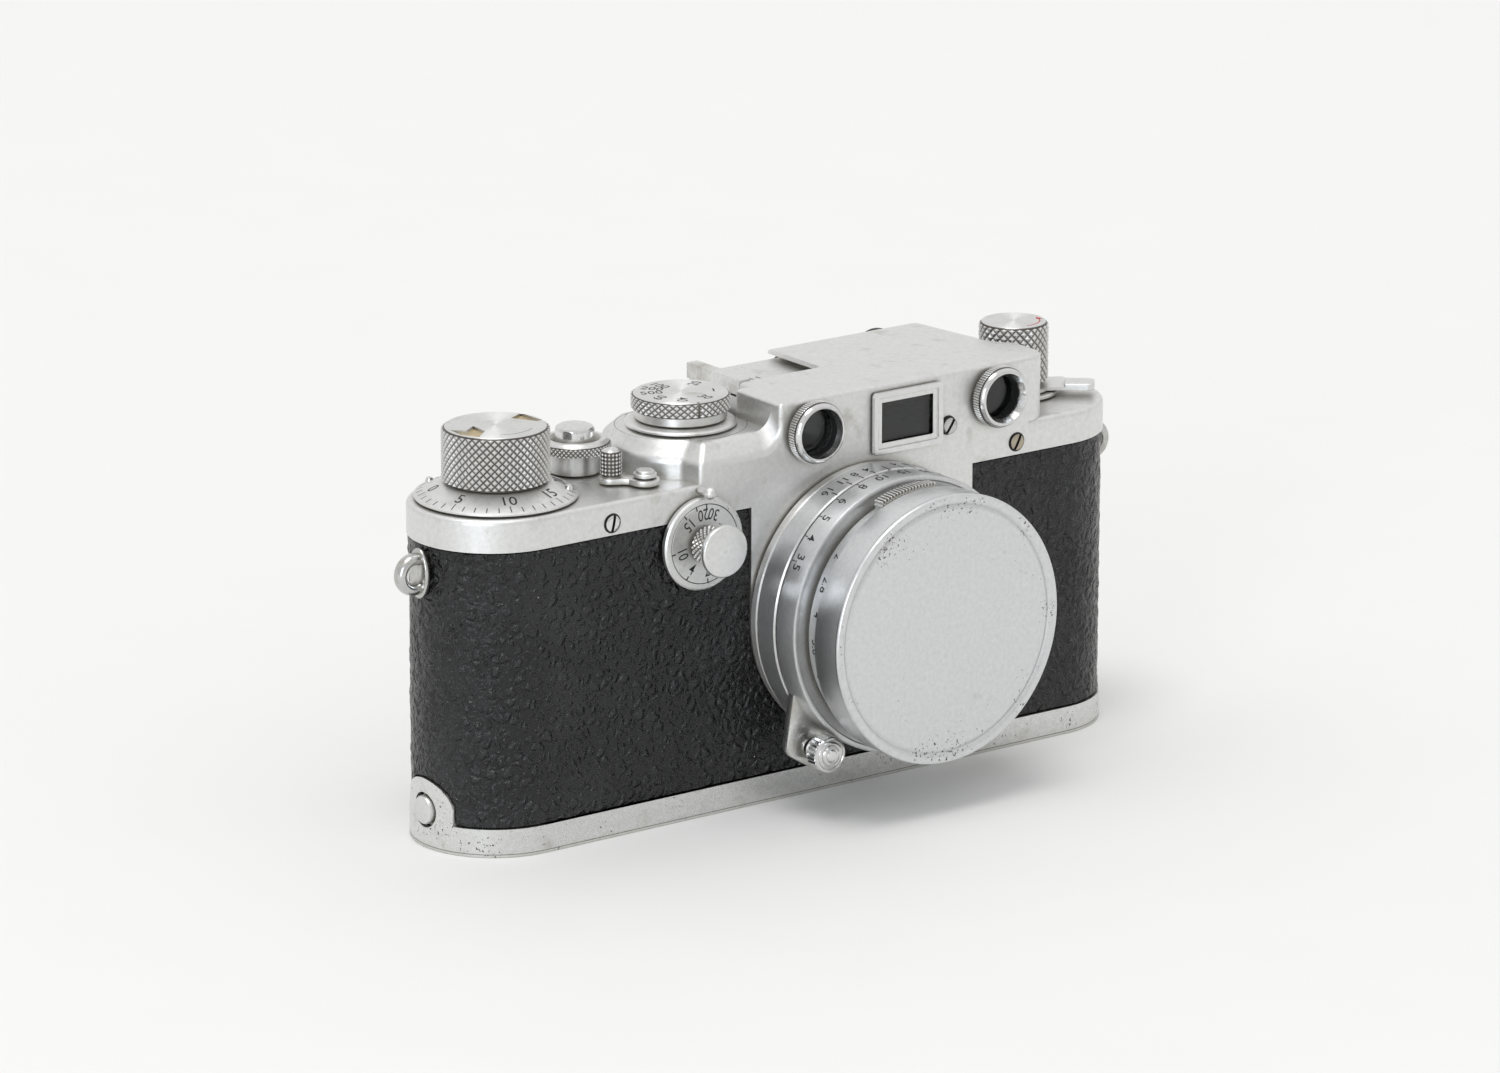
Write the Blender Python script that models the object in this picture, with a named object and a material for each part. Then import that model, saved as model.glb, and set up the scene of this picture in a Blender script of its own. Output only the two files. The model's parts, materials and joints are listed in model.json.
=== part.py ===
"""Screw-mount rangefinder camera with a collapsible lens, built as an assembly of separate pieces.

Metres, +Z up. The front faces -Y and +X is on the viewer's right. The origin is on the underside of the
base plate, in the middle of the body. Pieces that seat on each other keep a gap, SEAT, between them.
"""
import bpy
import bmesh
from math import acos, cos, degrees, hypot, pi, radians, sin

# Body: outer sizes, levels above the base, and walls
BODY_LENGTH = 0.1360
BODY_THICKNESS = 0.0281
BASE_RIM_TOP = 0.0047
BASE_FLOOR = 0.0022
BASE_CHAMFER = 0.0004
SKIRT_HEIGHT = 0.0054
DECK_TOP = 0.0563
DECK_ROUND = 0.0008
RAISED_DECK_RISE = 0.0063
HOUSING_RISE = 0.0110
SKIN = 0.0008
SHELL_WALL = 0.0012
COVER_WALL = 0.0010
SEAT = 0.0003

# Raised deck and rangefinder housing, seen from above
RAISED_REACH = 0.0062
RAISED_GAP = 0.00076
RAISED_ROUND_HALF_ANGLE = 55.0
RAISED_SLOPE_WIDTH = 0.0016
RAISED_SLOPE_DROP = 0.0018
HOUSING_GAP = 0.0006
HOUSING_CORNER = 0.0040
HOUSING_OVERHANG = 0.0020
HOUSING_STEP_BACK = 0.0125
HOUSING_EDGE = 0.0007
REWIND_RECESS = 0.0079

# Base plate tab, its stud, key and tripod bush
TAB_HALF_WIDTH = 0.0061
TAB_SHOULDER = 0.0070
TAB_TOP = 0.0116
STUD_HEIGHT = 0.0063
STUD_RADIUS = 0.00225
STUD_PROUD = 0.0004
STUD_PLAY = 0.0007
KEY_RADIUS = 0.0080
KEY_THICKNESS = 0.0006
KEY_RECESS = 0.0016
KEY_SPINDLE = 0.0020
KEY_BOLT_LENGTH = 0.0180
KEY_BOLT_WIDTH = 0.0050
KEY_BOLT_THICKNESS = 0.0012
HANDLE_RADIUS = 0.0072
HANDLE_WIDTH = 0.0016
HANDLE_BAR = 0.0006
HANDLE_THICKNESS = 0.00035
TRIPOD_RADIUS = 0.0060
TRIPOD_FLANGE = 0.0015
TRIPOD_BORE = 0.0032
TRIPOD_DEPTH = 0.0054
TRIPOD_CAP = 0.0012

# Strap lugs
LUG_DROP = 0.0102
LUG_RADIUS = 0.0035
LUG_HOLE = 0.0015
LUG_THICKNESS = 0.0026
LUG_FOOT_WIDTH = 0.0050
LUG_FOOT_HEIGHT = 0.0084
LUG_FOOT_THICKNESS = 0.0005

# Winding side of the top deck
WIND_RADIUS = 0.00885
WIND_HEIGHT = 0.0090
WIND_STEM = 0.0025
KNOB_CHAMFER = 0.0004
COUNTER_GAP = 0.00026
COUNTER_RIM = 0.0004
COUNTER_HEIGHT = 0.00235
SPOOL_GAP = 0.0009
SPOOL_CORE = 0.0050
SPOOL_FLANGE_THICKNESS = 0.0010
SPOOL_BOTTOM = 0.0085
SPOOL_DROP = 0.0063
RELEASE_Y = 0.0049
RELEASE_COLLAR = 0.0044
RELEASE_RING = 0.0060
RELEASE_RING_LOW = 0.0037
RELEASE_RING_HIGH = 0.0058
RELEASE_BUTTON = 0.00325
RELEASE_BUTTON_TOP = 0.0080
RELEASE_BUTTON_LENGTH = 0.0033
RELEASE_STEM = 0.0015
RELEASE_STEM_LENGTH = 0.0021
RELEASE_TRAVEL = 0.0022
SPROCKET_RADIUS = 0.0054
SPROCKET_TOOTH = 0.0004
SPROCKET_TEETH = 8
SPROCKET_TOOTH_SHARE = 0.25
SPROCKET_BOTTOM = 0.0110
SPROCKET_DROP = 0.0083
LEVER_PIVOT_Y = -0.0088
LEVER_LENGTH = 0.0056
LEVER_ANGLE = 133.0
LEVER_EYE = 0.0024
LEVER_TIP = 0.0020
LEVER_THICKNESS = 0.0010
LEVER_POST = 0.00175
LEVER_POST_HEIGHT = 0.0046
LEVER_SCREW = 0.0019
LEVER_SCREW_HEIGHT = 0.0011
LEVER_PIN = 0.0010

# Speed dial, its spindle and the curtain drum below it
SPEED_RING = 0.0092
SPEED_RING_HEIGHT = 0.0007
SPEED_DIAL = 0.00824
SPEED_BAND = 0.0076
SPEED_BAND_HEIGHT = 0.0014
SPEED_DIAL_HEIGHT = 0.0042
SPEED_CAP = 0.0013
SPINDLE = 0.0020
DRUM_GAP = 0.0013
ROLLER_GAP = 0.0011
ROLLER_RADIUS = 0.0032
JOURNAL = 0.0014
JOURNAL_LENGTH = 0.0011

# Slow speed dial on the front
SLOW_DROP = 0.00945
SLOW_DIAL = 0.0078
SLOW_DIAL_THICKNESS = 0.00115
SLOW_KNOB = 0.0044
SLOW_KNOB_LENGTH = 0.0055
SLOW_STEM = 0.0017
SLOW_STEM_LENGTH = 0.0055
INDEX_STEM = 0.0007
INDEX_BALL = 0.00105
INDEX_REACH = 0.0018

# Rewind side of the top deck
REWIND_Y = 0.0017
REWIND_FLANGE = 0.0075
REWIND_FLANGE_HEIGHT = 0.0006
EYE_LEVER_RING = 0.0064
EYE_LEVER_REACH = 0.0135
EYE_LEVER_WIDTH = 0.0046
EYE_LEVER_ANGLE = -37.5
EYE_LEVER_THICKNESS = 0.0010
REWIND_RADIUS = 0.00596
REWIND_HEIGHT = 0.0102
REWIND_CAP = 0.0027
REWIND_SHAFT = 0.0020
REWIND_FORK_DROP = 0.0143
REWIND_FORK_SLOT = 0.0016
REWIND_FORK_DEPTH = 0.0050

# Accessory shoe: channel sizes and where it starts
SHOE_INSET = 0.0030
SHOE_WIDTH = 0.0202
SHOE_START = 0.0015
SHOE_WALL = 0.0008
SHOE_FLOOR = 0.0006
SHOE_HEIGHT = 0.0027
SHOE_PROUD = 0.0003
SHOE_LIP = 0.0007
SHOE_LIP_LEFT = 0.0023
SHOE_LIP_RIGHT = 0.0034

# Windows, eyepieces and rangefinder parts
VIEW_RISE = 0.0047
VIEW_WIDTH = 0.0106
VIEW_HEIGHT = 0.0068
VIEW_FRAME = 0.0019
VIEW_FRAME_PROUD = 0.0012
VIEW_REBATE = 0.0004
RANGE_INSET = 0.0064
RANGE_RISE = 0.0056
BEZEL_RADIUS = 0.0053
BEZEL_BORE = 0.0039
BEZEL_LENGTH = 0.00265
BEZEL_CHAMFER = 0.0004
WINDOW_GLASS = 0.0040
EYEPIECE_RADIUS = 0.0050
EYEPIECE_BORE = 0.0026
EYEPIECE_TAIL = 0.0031
EYEPIECE_LENGTH = 0.0020
EYE_GLASS_THICKNESS = 0.0008
PRISM_WIDTH = 0.0068
PRISM_DEPTH = 0.0062
PRISM_HEIGHT = 0.0068
ARM_SETBACK = 0.00445
ARM_SHAFT = 0.0010
ARM_SHAFT_RISE = 0.0010
ARM_BAR = 0.0010
ARM_ROLLER = 0.0012

# Front screws
SCREW_RADIUS = 0.00135
SCREW_HEAD = 0.0005
SCREW_SLOT = 0.0004
SCREW_TURN = 30.0
SCREW_LEFT_DROP = 0.0034
SCREW_RIGHT_DROP = 0.0032
SCREW_WINDOW_DROP = 0.0027

# Shutter crate and pressure plate
CRATE_LEFT_REACH = 0.0082
CRATE_RIGHT_REACH = 0.0055
CRATE_BOTTOM = 0.0060
CRATE_SETBACK = 0.00585
CRATE_BACKSET = 0.00605
CRATE_WALL = 0.0012
GATE_WIDTH = 0.0360
GATE_HEIGHT = 0.0240
PLATE_BORDER = 0.0040
PLATE_THICKNESS = 0.0012

# Lens: axis, then radii and lengths from the body forward
LENS_DROP = 0.0246
APRON_HALF_WIDTH = 0.0228
MOUNT_RADIUS = 0.0232
MOUNT_LENGTH = 0.00165
MOUNT_WALL = 0.0010
MOUNT_TAIL = 0.00145
BASE_RING_RADIUS = 0.0235
BASE_RING_LENGTH = 0.0049
BASE_RING_WALL = 0.0012
FOCUS_RADIUS = 0.0234
FOCUS_LENGTH = 0.0049
FOCUS_BEVEL = 0.0006
SLEEVE_WALL = 0.0019
SLEEVE_TAIL = 0.00205
BARREL_RADIUS = 0.0159
BARREL_WALL = 0.0024
BARREL_REACH = 0.0160
APERTURE_RADIUS = 0.02075
APERTURE_LENGTH = 0.0037
HEAD_LENGTH = 0.0053
CAP_RADIUS = 0.0225
CAP_WALL = 0.0008
CAP_FACE = 0.0007
CAP_RIM = 0.0002
CAP_RIM_WIDTH = 0.0008
CAP_OVERHANG = 0.0001
GLASS_EDGE = 0.0030
GLASS_CROWN = 0.0016
GLASS_SETBACK = 0.0022
GLASS_MIDDLE = 0.6
IRIS_OPENING = 0.0060
IRIS_THICKNESS = 0.0008
FOCUS_LEVER_ANGLE = 230.0
FOCUS_LEVER_END = 0.0032
FOCUS_LEVER_THICKNESS = 0.0015
LOCK_RADIUS = 0.0030
LOCK_LENGTH = 0.0045
LOCK_TRAVEL = 0.0010
LOCK_STEM = 0.0012

# Places along the body, as shares of the way from its middle to the centre of its round end
WIND_SHARE = -0.9900
TRIPOD_SHARE = -0.9270
SCREW_LEFT_SHARE = -0.7510
RELEASE_SHARE = -0.6395
LEVER_SHARE = -0.5616
SLOW_SHARE = -0.4300
SPEED_SHARE = -0.3114
ARM_SHARE = -0.1670
LENS_SHARE = 0.1854
VIEW_SHARE = 0.3466
ROLLER_SHARE = 0.6025
RANGE_EYE_SHARE = 0.6765
RANGE_RIGHT_SHARE = 0.6950
SCREW_RIGHT_SHARE = 0.7800
HOUSING_BACK_SHARE = 0.8155
HOUSING_SHARE = 0.9100
KEY_SHARE = 0.9640
REWIND_SHARE = 0.9970

# Facets of round pieces, the angle that stays smooth, and the step between shapes joined into one piece
END_STEPS = 10
LENS_STEPS = 32
DIAL_STEPS = 22
SMALL_STEPS = 12
SMOOTH_ANGLE = 30.0
JOIN_STEP = 0.0001

# Share of a rounding's radius at its half-way point
ROUND_MIDDLE = 1 - cos(pi / 4)

# Levels and radii that follow from the sizes above
END_RADIUS = BODY_THICKNESS / 2
END_X = BODY_LENGTH / 2 - END_RADIUS
SKIRT_BOTTOM = DECK_TOP - SKIRT_HEIGHT
SHELL_RADIUS = END_RADIUS - SKIN - SEAT
SHELL_INNER = SHELL_RADIUS - SHELL_WALL
SHELL_TOP = DECK_TOP - COVER_WALL - SEAT
SHELL_BOTTOM = BASE_FLOOR + SEAT
DECK_SEAT = DECK_TOP + SEAT
RAISED_TOP = DECK_TOP + RAISED_DECK_RISE
HOUSING_TOP = DECK_TOP + HOUSING_RISE
HOUSING_BACK = END_RADIUS + HOUSING_OVERHANG
FRONT_SEAT = END_RADIUS + SEAT
CRATE_FRONT = CRATE_SETBACK - END_RADIUS
CRATE_BACK = END_RADIUS - CRATE_BACKSET
CRATE_INSIDE_BACK = CRATE_BACK - CRATE_WALL
DRUM_RADIUS = CRATE_INSIDE_BACK - DRUM_GAP
ROLLER_Y = CRATE_INSIDE_BACK - ROLLER_GAP - ROLLER_RADIUS
SHOE_BOTTOM = HOUSING_TOP + SHOE_PROUD - SHOE_HEIGHT
LUG_HEIGHT = DECK_TOP - LUG_DROP
SPOOL_TOP = DECK_TOP - SPOOL_DROP
SPROCKET_TOP = DECK_TOP - SPROCKET_DROP
SLOW_Z = DECK_TOP - SLOW_DROP
REWIND_FORK_BOTTOM = DECK_TOP - REWIND_FORK_DROP
VIEW_Z = DECK_TOP + VIEW_RISE
RANGE_Z = DECK_TOP + RANGE_RISE
LENS_Z = DECK_TOP - LENS_DROP

# Places along the body
WIND_X = END_X * WIND_SHARE
TRIPOD_X = END_X * TRIPOD_SHARE
RELEASE_X = END_X * RELEASE_SHARE
LEVER_PIVOT_X = END_X * LEVER_SHARE
SLOW_X = END_X * SLOW_SHARE
SPEED_X = END_X * SPEED_SHARE
ARM_X = END_X * ARM_SHARE
LENS_X = END_X * LENS_SHARE
VIEW_X = END_X * VIEW_SHARE
ROLLER_X = END_X * ROLLER_SHARE
RANGE_EYE_X = END_X * RANGE_EYE_SHARE
RANGE_RIGHT_X = END_X * RANGE_RIGHT_SHARE
HOUSING_BACK_RIGHT = END_X * HOUSING_BACK_SHARE
HOUSING_RIGHT = END_X * HOUSING_SHARE
KEY_X = END_X * KEY_SHARE
REWIND_X = END_X * REWIND_SHARE
SPOOL_FLANGE = SHELL_INNER - END_X - WIND_X - SPOOL_GAP
RAISED_LEFT = SPEED_X - RAISED_REACH
RAISED_ROUND = hypot(SPEED_X - RELEASE_X, RELEASE_Y) - RELEASE_RING - RAISED_GAP
HOUSING_LEFT = SPEED_X + SPEED_RING + HOUSING_GAP
SHOE_LEFT = HOUSING_LEFT + SHOE_INSET
RANGE_LEFT_X = HOUSING_LEFT + RANGE_INSET
CRATE_LEFT = SPEED_X - CRATE_LEFT_REACH
CRATE_RIGHT = ROLLER_X + CRATE_RIGHT_REACH
COUNTER_RADIUS = hypot(RELEASE_X - WIND_X, RELEASE_Y) - RELEASE_RING - COUNTER_GAP
FOCUS_LEVER_REACH = FOCUS_RADIUS + LOCK_RADIUS + SEAT
SCREW_WINDOW_X = VIEW_X + VIEW_WIDTH / 2 + VIEW_FRAME + SEAT + SCREW_RADIUS
SCREW_LEFT = (END_X * SCREW_LEFT_SHARE, DECK_TOP - SCREW_LEFT_DROP)
SCREW_RIGHT = (END_X * SCREW_RIGHT_SHARE, DECK_TOP - SCREW_RIGHT_DROP)
SCREW_WINDOW = (SCREW_WINDOW_X, VIEW_Z - SCREW_WINDOW_DROP)

# Places along the lens axis, as distances in front of the body's middle
MOUNT_FRONT = FRONT_SEAT + MOUNT_LENGTH
BASE_RING_BACK = MOUNT_FRONT + SEAT
BASE_RING_FRONT = BASE_RING_BACK + BASE_RING_LENGTH
FOCUS_BACK = BASE_RING_FRONT + SEAT
FOCUS_FRONT = FOCUS_BACK + FOCUS_LENGTH
APERTURE_BACK = FOCUS_FRONT + SEAT
APERTURE_FRONT = APERTURE_BACK + APERTURE_LENGTH
HEAD_BACK = APERTURE_FRONT + SEAT
HEAD_FRONT = HEAD_BACK + HEAD_LENGTH
CAP_BACK = HEAD_BACK - CAP_OVERHANG
CAP_INSIDE = HEAD_FRONT + SEAT
CAP_FRONT = CAP_INSIDE + CAP_FACE
BARREL_BACK = END_RADIUS - BARREL_REACH
SLEEVE_BACK = END_RADIUS - SLEEVE_TAIL
MOUNT_BACK = END_RADIUS - MOUNT_TAIL
LEVER_FRONT = FOCUS_BACK + FOCUS_LEVER_THICKNESS
BARREL_BORE = BARREL_RADIUS - BARREL_WALL
SLEEVE_BORE = BARREL_RADIUS + SEAT
SLEEVE_RADIUS = SLEEVE_BORE + SLEEVE_WALL
BASE_RING_BORE = SLEEVE_RADIUS + SEAT
BASE_RING_TAIL = BASE_RING_BORE + BASE_RING_WALL
MOUNT_BORE = BASE_RING_TAIL + SEAT
MOUNT_TAIL_RADIUS = MOUNT_BORE + MOUNT_WALL
CAP_BORE = CAP_RADIUS - CAP_WALL
HEAD_RADIUS = CAP_BORE - SEAT

# Turns that lay a piece's own +Z along -Y, +Y, +X and -X
TO_FRONT = (pi / 2, 0, 0)
TO_BACK = (-pi / 2, 0, 0)
TO_RIGHT = (pi / 2, 0, pi / 2)
TO_LEFT = (pi / 2, 0, -pi / 2)

# Finishes: base colour, roughness and metallic value
CHROME = ((0.78, 0.78, 0.76), 0.30, 1.0)
BRIGHT = ((0.85, 0.85, 0.84), 0.18, 1.0)
STEEL = ((0.55, 0.55, 0.55), 0.35, 1.0)
BLACK = ((0.02, 0.02, 0.02), 0.55, 0.0)
LEATHER = ((0.025, 0.025, 0.027), 0.60, 0.0)
GLASS = ((0.08, 0.09, 0.10), 0.05, 0.0)


def clear_scene():
    for item in list(bpy.data.objects):
        bpy.data.objects.remove(item, do_unlink=True)


def arc(centre, radius, start, end, steps):
    """Points of an arc, both ends included, with angles in degrees."""
    angles = [radians(start + (end - start) * i / steps) for i in range(steps + 1)]
    return [(centre[0] + radius * cos(a), centre[1] + radius * sin(a)) for a in angles]


def circle(centre, radius, steps):
    return arc(centre, radius, 0, 360, steps)[:-1]


def stadium(radius):
    """The body's plan: two half circles about the ends' centres, joined by straight sides."""
    return arc((END_X, 0), radius, -90, 90, END_STEPS) + arc((-END_X, 0), radius, 90, 270, END_STEPS)


def rectangle(left, right, low, high):
    return [(left, low), (right, low), (right, high), (left, high)]


def loft(levels):
    """A solid through outlines with equal point counts, each given with its height."""
    mesh = bmesh.new()
    rings = [[mesh.verts.new((x, y, z)) for x, y in outline] for outline, z in levels]
    mesh.faces.new(list(reversed(rings[0])))
    mesh.faces.new(rings[-1])
    for lower, upper in zip(rings, rings[1:]):
        for i, corner in enumerate(lower):
            j = (i + 1) % len(lower)
            mesh.faces.new((corner, lower[j], upper[j], upper[i]))
    return mesh


def prism(outline, low, high):
    return loft([(outline, low), (outline, high)])


def sleeve(outer, inner, low, high):
    """A tube between two outlines with equal point counts."""
    mesh = bmesh.new()
    rings = []
    for outline, z in ((outer, low), (outer, high), (inner, high), (inner, low)):
        rings.append([mesh.verts.new((x, y, z)) for x, y in outline])
    for lower, upper in zip(rings, rings[1:] + rings[:1]):
        for i, corner in enumerate(lower):
            j = (i + 1) % len(lower)
            mesh.faces.new((corner, lower[j], upper[j], upper[i]))
    return mesh


def turned(profile, steps):
    """A profile of (radius, height) points spun about Z, closed unless both ends are on the axis."""
    mesh = bmesh.new()
    points = [mesh.verts.new((r, 0, h)) for r, h in profile]
    for first, second in zip(points, points[1:]):
        mesh.edges.new((first, second))
    if profile[0][0] > 0 or profile[-1][0] > 0:
        mesh.edges.new((points[-1], points[0]))
    geometry = mesh.verts[:] + mesh.edges[:]
    bmesh.ops.spin(
        mesh, geom=geometry, cent=(0, 0, 0), axis=(0, 0, 1), angle=2 * pi, steps=steps, use_merge=True
    )
    bmesh.ops.remove_doubles(mesh, verts=mesh.verts[:], dist=JOIN_STEP / 100)
    return mesh


def disc(radius, low, high, steps):
    return turned([(0, low), (radius, low), (radius, high), (0, high)], steps)


def ring(bore, radius, low, high, steps):
    return turned([(bore, low), (radius, low), (radius, high), (bore, high)], steps)


def finish_material(name, finish):
    colour, roughness, metallic = finish
    material = bpy.data.materials.new(name + "_finish")
    material.use_nodes = True
    shader = material.node_tree.nodes["Principled BSDF"]
    shader.inputs["Base Color"].default_value = (*colour, 1)
    shader.inputs["Roughness"].default_value = roughness
    shader.inputs["Metallic"].default_value = metallic
    return material


def add(name, mesh, finish, place=(0, 0, 0), turn=(0, 0, 0)):
    """Make an object of a mesh, with its own material, at its place."""
    bmesh.ops.recalc_face_normals(mesh, faces=mesh.faces[:])
    data = bpy.data.meshes.new(name)
    mesh.to_mesh(data)
    mesh.free()
    data.shade_smooth()
    data.set_sharp_from_angle(angle=radians(SMOOTH_ANGLE))
    item = bpy.data.objects.new(name, data)
    item.location = place
    item.rotation_euler = turn
    bpy.context.scene.collection.objects.link(item)
    if finish:
        data.materials.append(finish_material(name, finish))
    return item


def tool(name, mesh, place=(0, 0, 0), turn=(0, 0, 0)):
    """A shape that only cuts or joins other pieces."""
    item = add("tool_" + name, mesh, None, place, turn)
    item.hide_render = True
    item.display_type = "WIRE"
    return item


def combine(target, other, operation):
    step = target.modifiers.new(operation.lower() + "_" + other.name, "BOOLEAN")
    step.operation = operation
    step.solver = "EXACT"
    step.object = other


def cut(target, *tools):
    for other in tools:
        combine(target, other, "DIFFERENCE")


def join(target, *tools):
    for other in tools:
        combine(target, other, "UNION")


def front_drill(name, x, z, radius, steps):
    """A round cutter through the front walls, from the middle of the body forward."""
    return tool(name, disc(radius, 0, 2 * END_RADIUS, steps), (x, 0, z), TO_FRONT)


def back_drill(name, x, z, radius, steps):
    return tool(name, disc(radius, 0, 2 * HOUSING_BACK, steps), (x, 0, z), TO_BACK)


def deck_drill(name, x, y, radius):
    return tool(name, disc(radius, SKIRT_BOTTOM, HOUSING_TOP, SMALL_STEPS), (x, y, 0))


def apron_outline(half_width, top):
    """Front apron in x and z: straight sides, and a half circle round the lens, above the base plate."""
    left = (LENS_X - half_width, top)
    right = (LENS_X + half_width, top)
    low = BASE_RIM_TOP + SEAT
    below = arc((LENS_X, LENS_Z), half_width, 180, 360, LENS_STEPS // 2)
    return [left] + [(x, max(z, low)) for x, z in below] + [right]


def raised_outline(inset, right):
    """Raised deck from above: a round bulge about the speed dial between straight runs."""
    left = RAISED_LEFT + inset
    front = -END_RADIUS + inset
    first = 180 - RAISED_ROUND_HALF_ANGLE
    last = 180 + RAISED_ROUND_HALF_ANGLE
    bulge = arc((SPEED_X, 0), RAISED_ROUND - inset, first, last, END_STEPS)
    return [(left, front), (right, front), (right, -front), (left, -front)] + bulge


def housing_outline(inset, back):
    """Housing from above: rounded front corner, hollow side round the rewind knob, step at the shoe."""
    left = HOUSING_LEFT + inset
    front = -END_RADIUS + inset
    step = HOUSING_STEP_BACK - END_RADIUS - inset
    corner = (HOUSING_RIGHT - HOUSING_CORNER, HOUSING_CORNER - END_RADIUS)
    hollow = REWIND_RECESS + inset
    meet = 180 + degrees(acos((REWIND_X - HOUSING_RIGHT + inset) / hollow))
    points = [(left, front)]
    points += arc(corner, HOUSING_CORNER - inset, -90, 0, END_STEPS // 2)
    points += arc((REWIND_X, REWIND_Y), hollow, meet, 180, END_STEPS // 2)
    points += [(HOUSING_BACK_RIGHT - inset, back), (SHOE_LEFT + inset, back)]
    return points + [(SHOE_LEFT + inset, step), (left, step)]


def tab_outline(grow):
    """Base plate tab in y and z: straight sides up to the shoulder, then a round top."""
    width = TAB_HALF_WIDTH + grow
    rise = TAB_TOP + grow - TAB_SHOULDER
    half_round = arc((0, 0), 1, 180, 0, END_STEPS)
    top = [(width * across, TAB_SHOULDER + rise * up) for across, up in half_round]
    return [(-width, BASE_RIM_TOP)] + top + [(width, BASE_RIM_TOP)]


def body_shell(throat, slow_hole):
    tube = sleeve(stadium(SHELL_RADIUS), stadium(SHELL_INNER), SHELL_BOTTOM, SHELL_TOP)
    shell = add("body_shell", tube, BLACK)
    cut(shell, throat, slow_hole)


def leather_cover(slow_hole):
    low = BASE_RIM_TOP + SEAT
    tube = sleeve(stadium(END_RADIUS), stadium(END_RADIUS - SKIN), low, SKIRT_BOTTOM - SEAT)
    leather = add("leather_cover", tube, LEATHER)
    apron = apron_outline(APRON_HALF_WIDTH + SEAT, DECK_TOP)
    tab = tab_outline(SEAT)
    around_apron = tool("around_apron", prism(apron, 0, 2 * END_RADIUS), (0, 0, 0), TO_FRONT)
    around_tab = tool("around_tab", prism(tab, -BODY_LENGTH, -END_X), (0, 0, 0), TO_RIGHT)
    cut(leather, around_apron, around_tab, slow_hole)


def cover_shapes():
    """Raised deck, housing and apron, which join the skirt and lower deck in one pressing."""
    root = DECK_TOP - COVER_WALL / 2
    reach = HOUSING_LEFT + COVER_WALL
    slope = raised_outline(RAISED_SLOPE_WIDTH, reach)
    edge = raised_outline(0, reach)
    raised = loft([(edge, root), (edge, RAISED_TOP - RAISED_SLOPE_DROP), (slope, RAISED_TOP)])
    wall = housing_outline(0, HOUSING_BACK)
    edge_middle = HOUSING_EDGE * ROUND_MIDDLE
    round_off = housing_outline(edge_middle, HOUSING_BACK - edge_middle)
    top = housing_outline(HOUSING_EDGE, HOUSING_BACK - HOUSING_EDGE)
    housing = loft([
        (wall, root),
        (wall, HOUSING_TOP - HOUSING_EDGE),
        (round_off, HOUSING_TOP - edge_middle),
        (top, HOUSING_TOP),
    ])
    apron_plan = apron_outline(APRON_HALF_WIDTH, SKIRT_BOTTOM + SKIRT_HEIGHT / 2)
    apron = tool("apron", prism(apron_plan, END_RADIUS - SKIN, END_RADIUS), (0, 0, 0), TO_FRONT)
    return [tool("raised", raised), tool("housing", housing), apron]


def cover_hollows():
    """The space inside the cover, open below."""
    under = DECK_TOP - 2 * COVER_WALL
    inside = prism(stadium(END_RADIUS - SKIN), 0, DECK_TOP - COVER_WALL)
    raised_plan = raised_outline(COVER_WALL, HOUSING_LEFT + 2 * COVER_WALL)
    raised = prism(raised_plan, under, RAISED_TOP - COVER_WALL)
    housing_plan = housing_outline(COVER_WALL, END_RADIUS - COVER_WALL)
    housing = prism(housing_plan, under, HOUSING_TOP - COVER_WALL)
    return [tool("inside", inside), tool("inside_raised", raised), tool("inside_housing", housing)]


def window_holes():
    half = VIEW_WIDTH / 2 + VIEW_REBATE + SEAT
    tall = VIEW_HEIGHT / 2 + VIEW_REBATE + SEAT
    view = prism(rectangle(-half, half, -tall, tall), 0, 2 * END_RADIUS)
    holes = [tool("view_hole", view, (VIEW_X, 0, VIEW_Z), TO_FRONT)]
    for side, x in (("left", RANGE_LEFT_X), ("right", RANGE_RIGHT_X)):
        holes.append(front_drill("range_hole_" + side, x, RANGE_Z, WINDOW_GLASS + SEAT, DIAL_STEPS))
    for side, x, z in (("view", VIEW_X, VIEW_Z), ("range", RANGE_EYE_X, RANGE_Z)):
        holes.append(back_drill("eye_hole_" + side, x, z, EYEPIECE_TAIL + SEAT, SMALL_STEPS))
    return holes


def top_cover(throat):
    edge_middle = DECK_ROUND * ROUND_MIDDLE
    skirt = loft([
        (stadium(END_RADIUS), SKIRT_BOTTOM),
        (stadium(END_RADIUS), DECK_TOP - DECK_ROUND),
        (stadium(END_RADIUS - edge_middle), DECK_TOP - edge_middle),
        (stadium(END_RADIUS - DECK_ROUND), DECK_TOP),
    ])
    cover = add("top_cover", skirt, CHROME)
    join(cover, *cover_shapes())
    cut(cover, *cover_hollows(), throat, *window_holes())
    cut(cover, deck_drill("wind_hole", WIND_X, 0, WIND_STEM + SEAT))
    cut(cover, deck_drill("speed_hole", SPEED_X, 0, SPINDLE + SEAT))
    cut(cover, deck_drill("rewind_hole", REWIND_X, REWIND_Y, REWIND_SHAFT + SEAT))
    right = SHOE_LEFT + SHOE_WIDTH + SEAT
    pocket_plan = rectangle(SHOE_LEFT - SHOE_WIDTH, right, SHOE_START - SEAT, 2 * HOUSING_BACK)
    cut(cover, tool("shoe_pocket", prism(pocket_plan, SHOE_BOTTOM - SEAT, 2 * HOUSING_TOP)))


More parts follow.
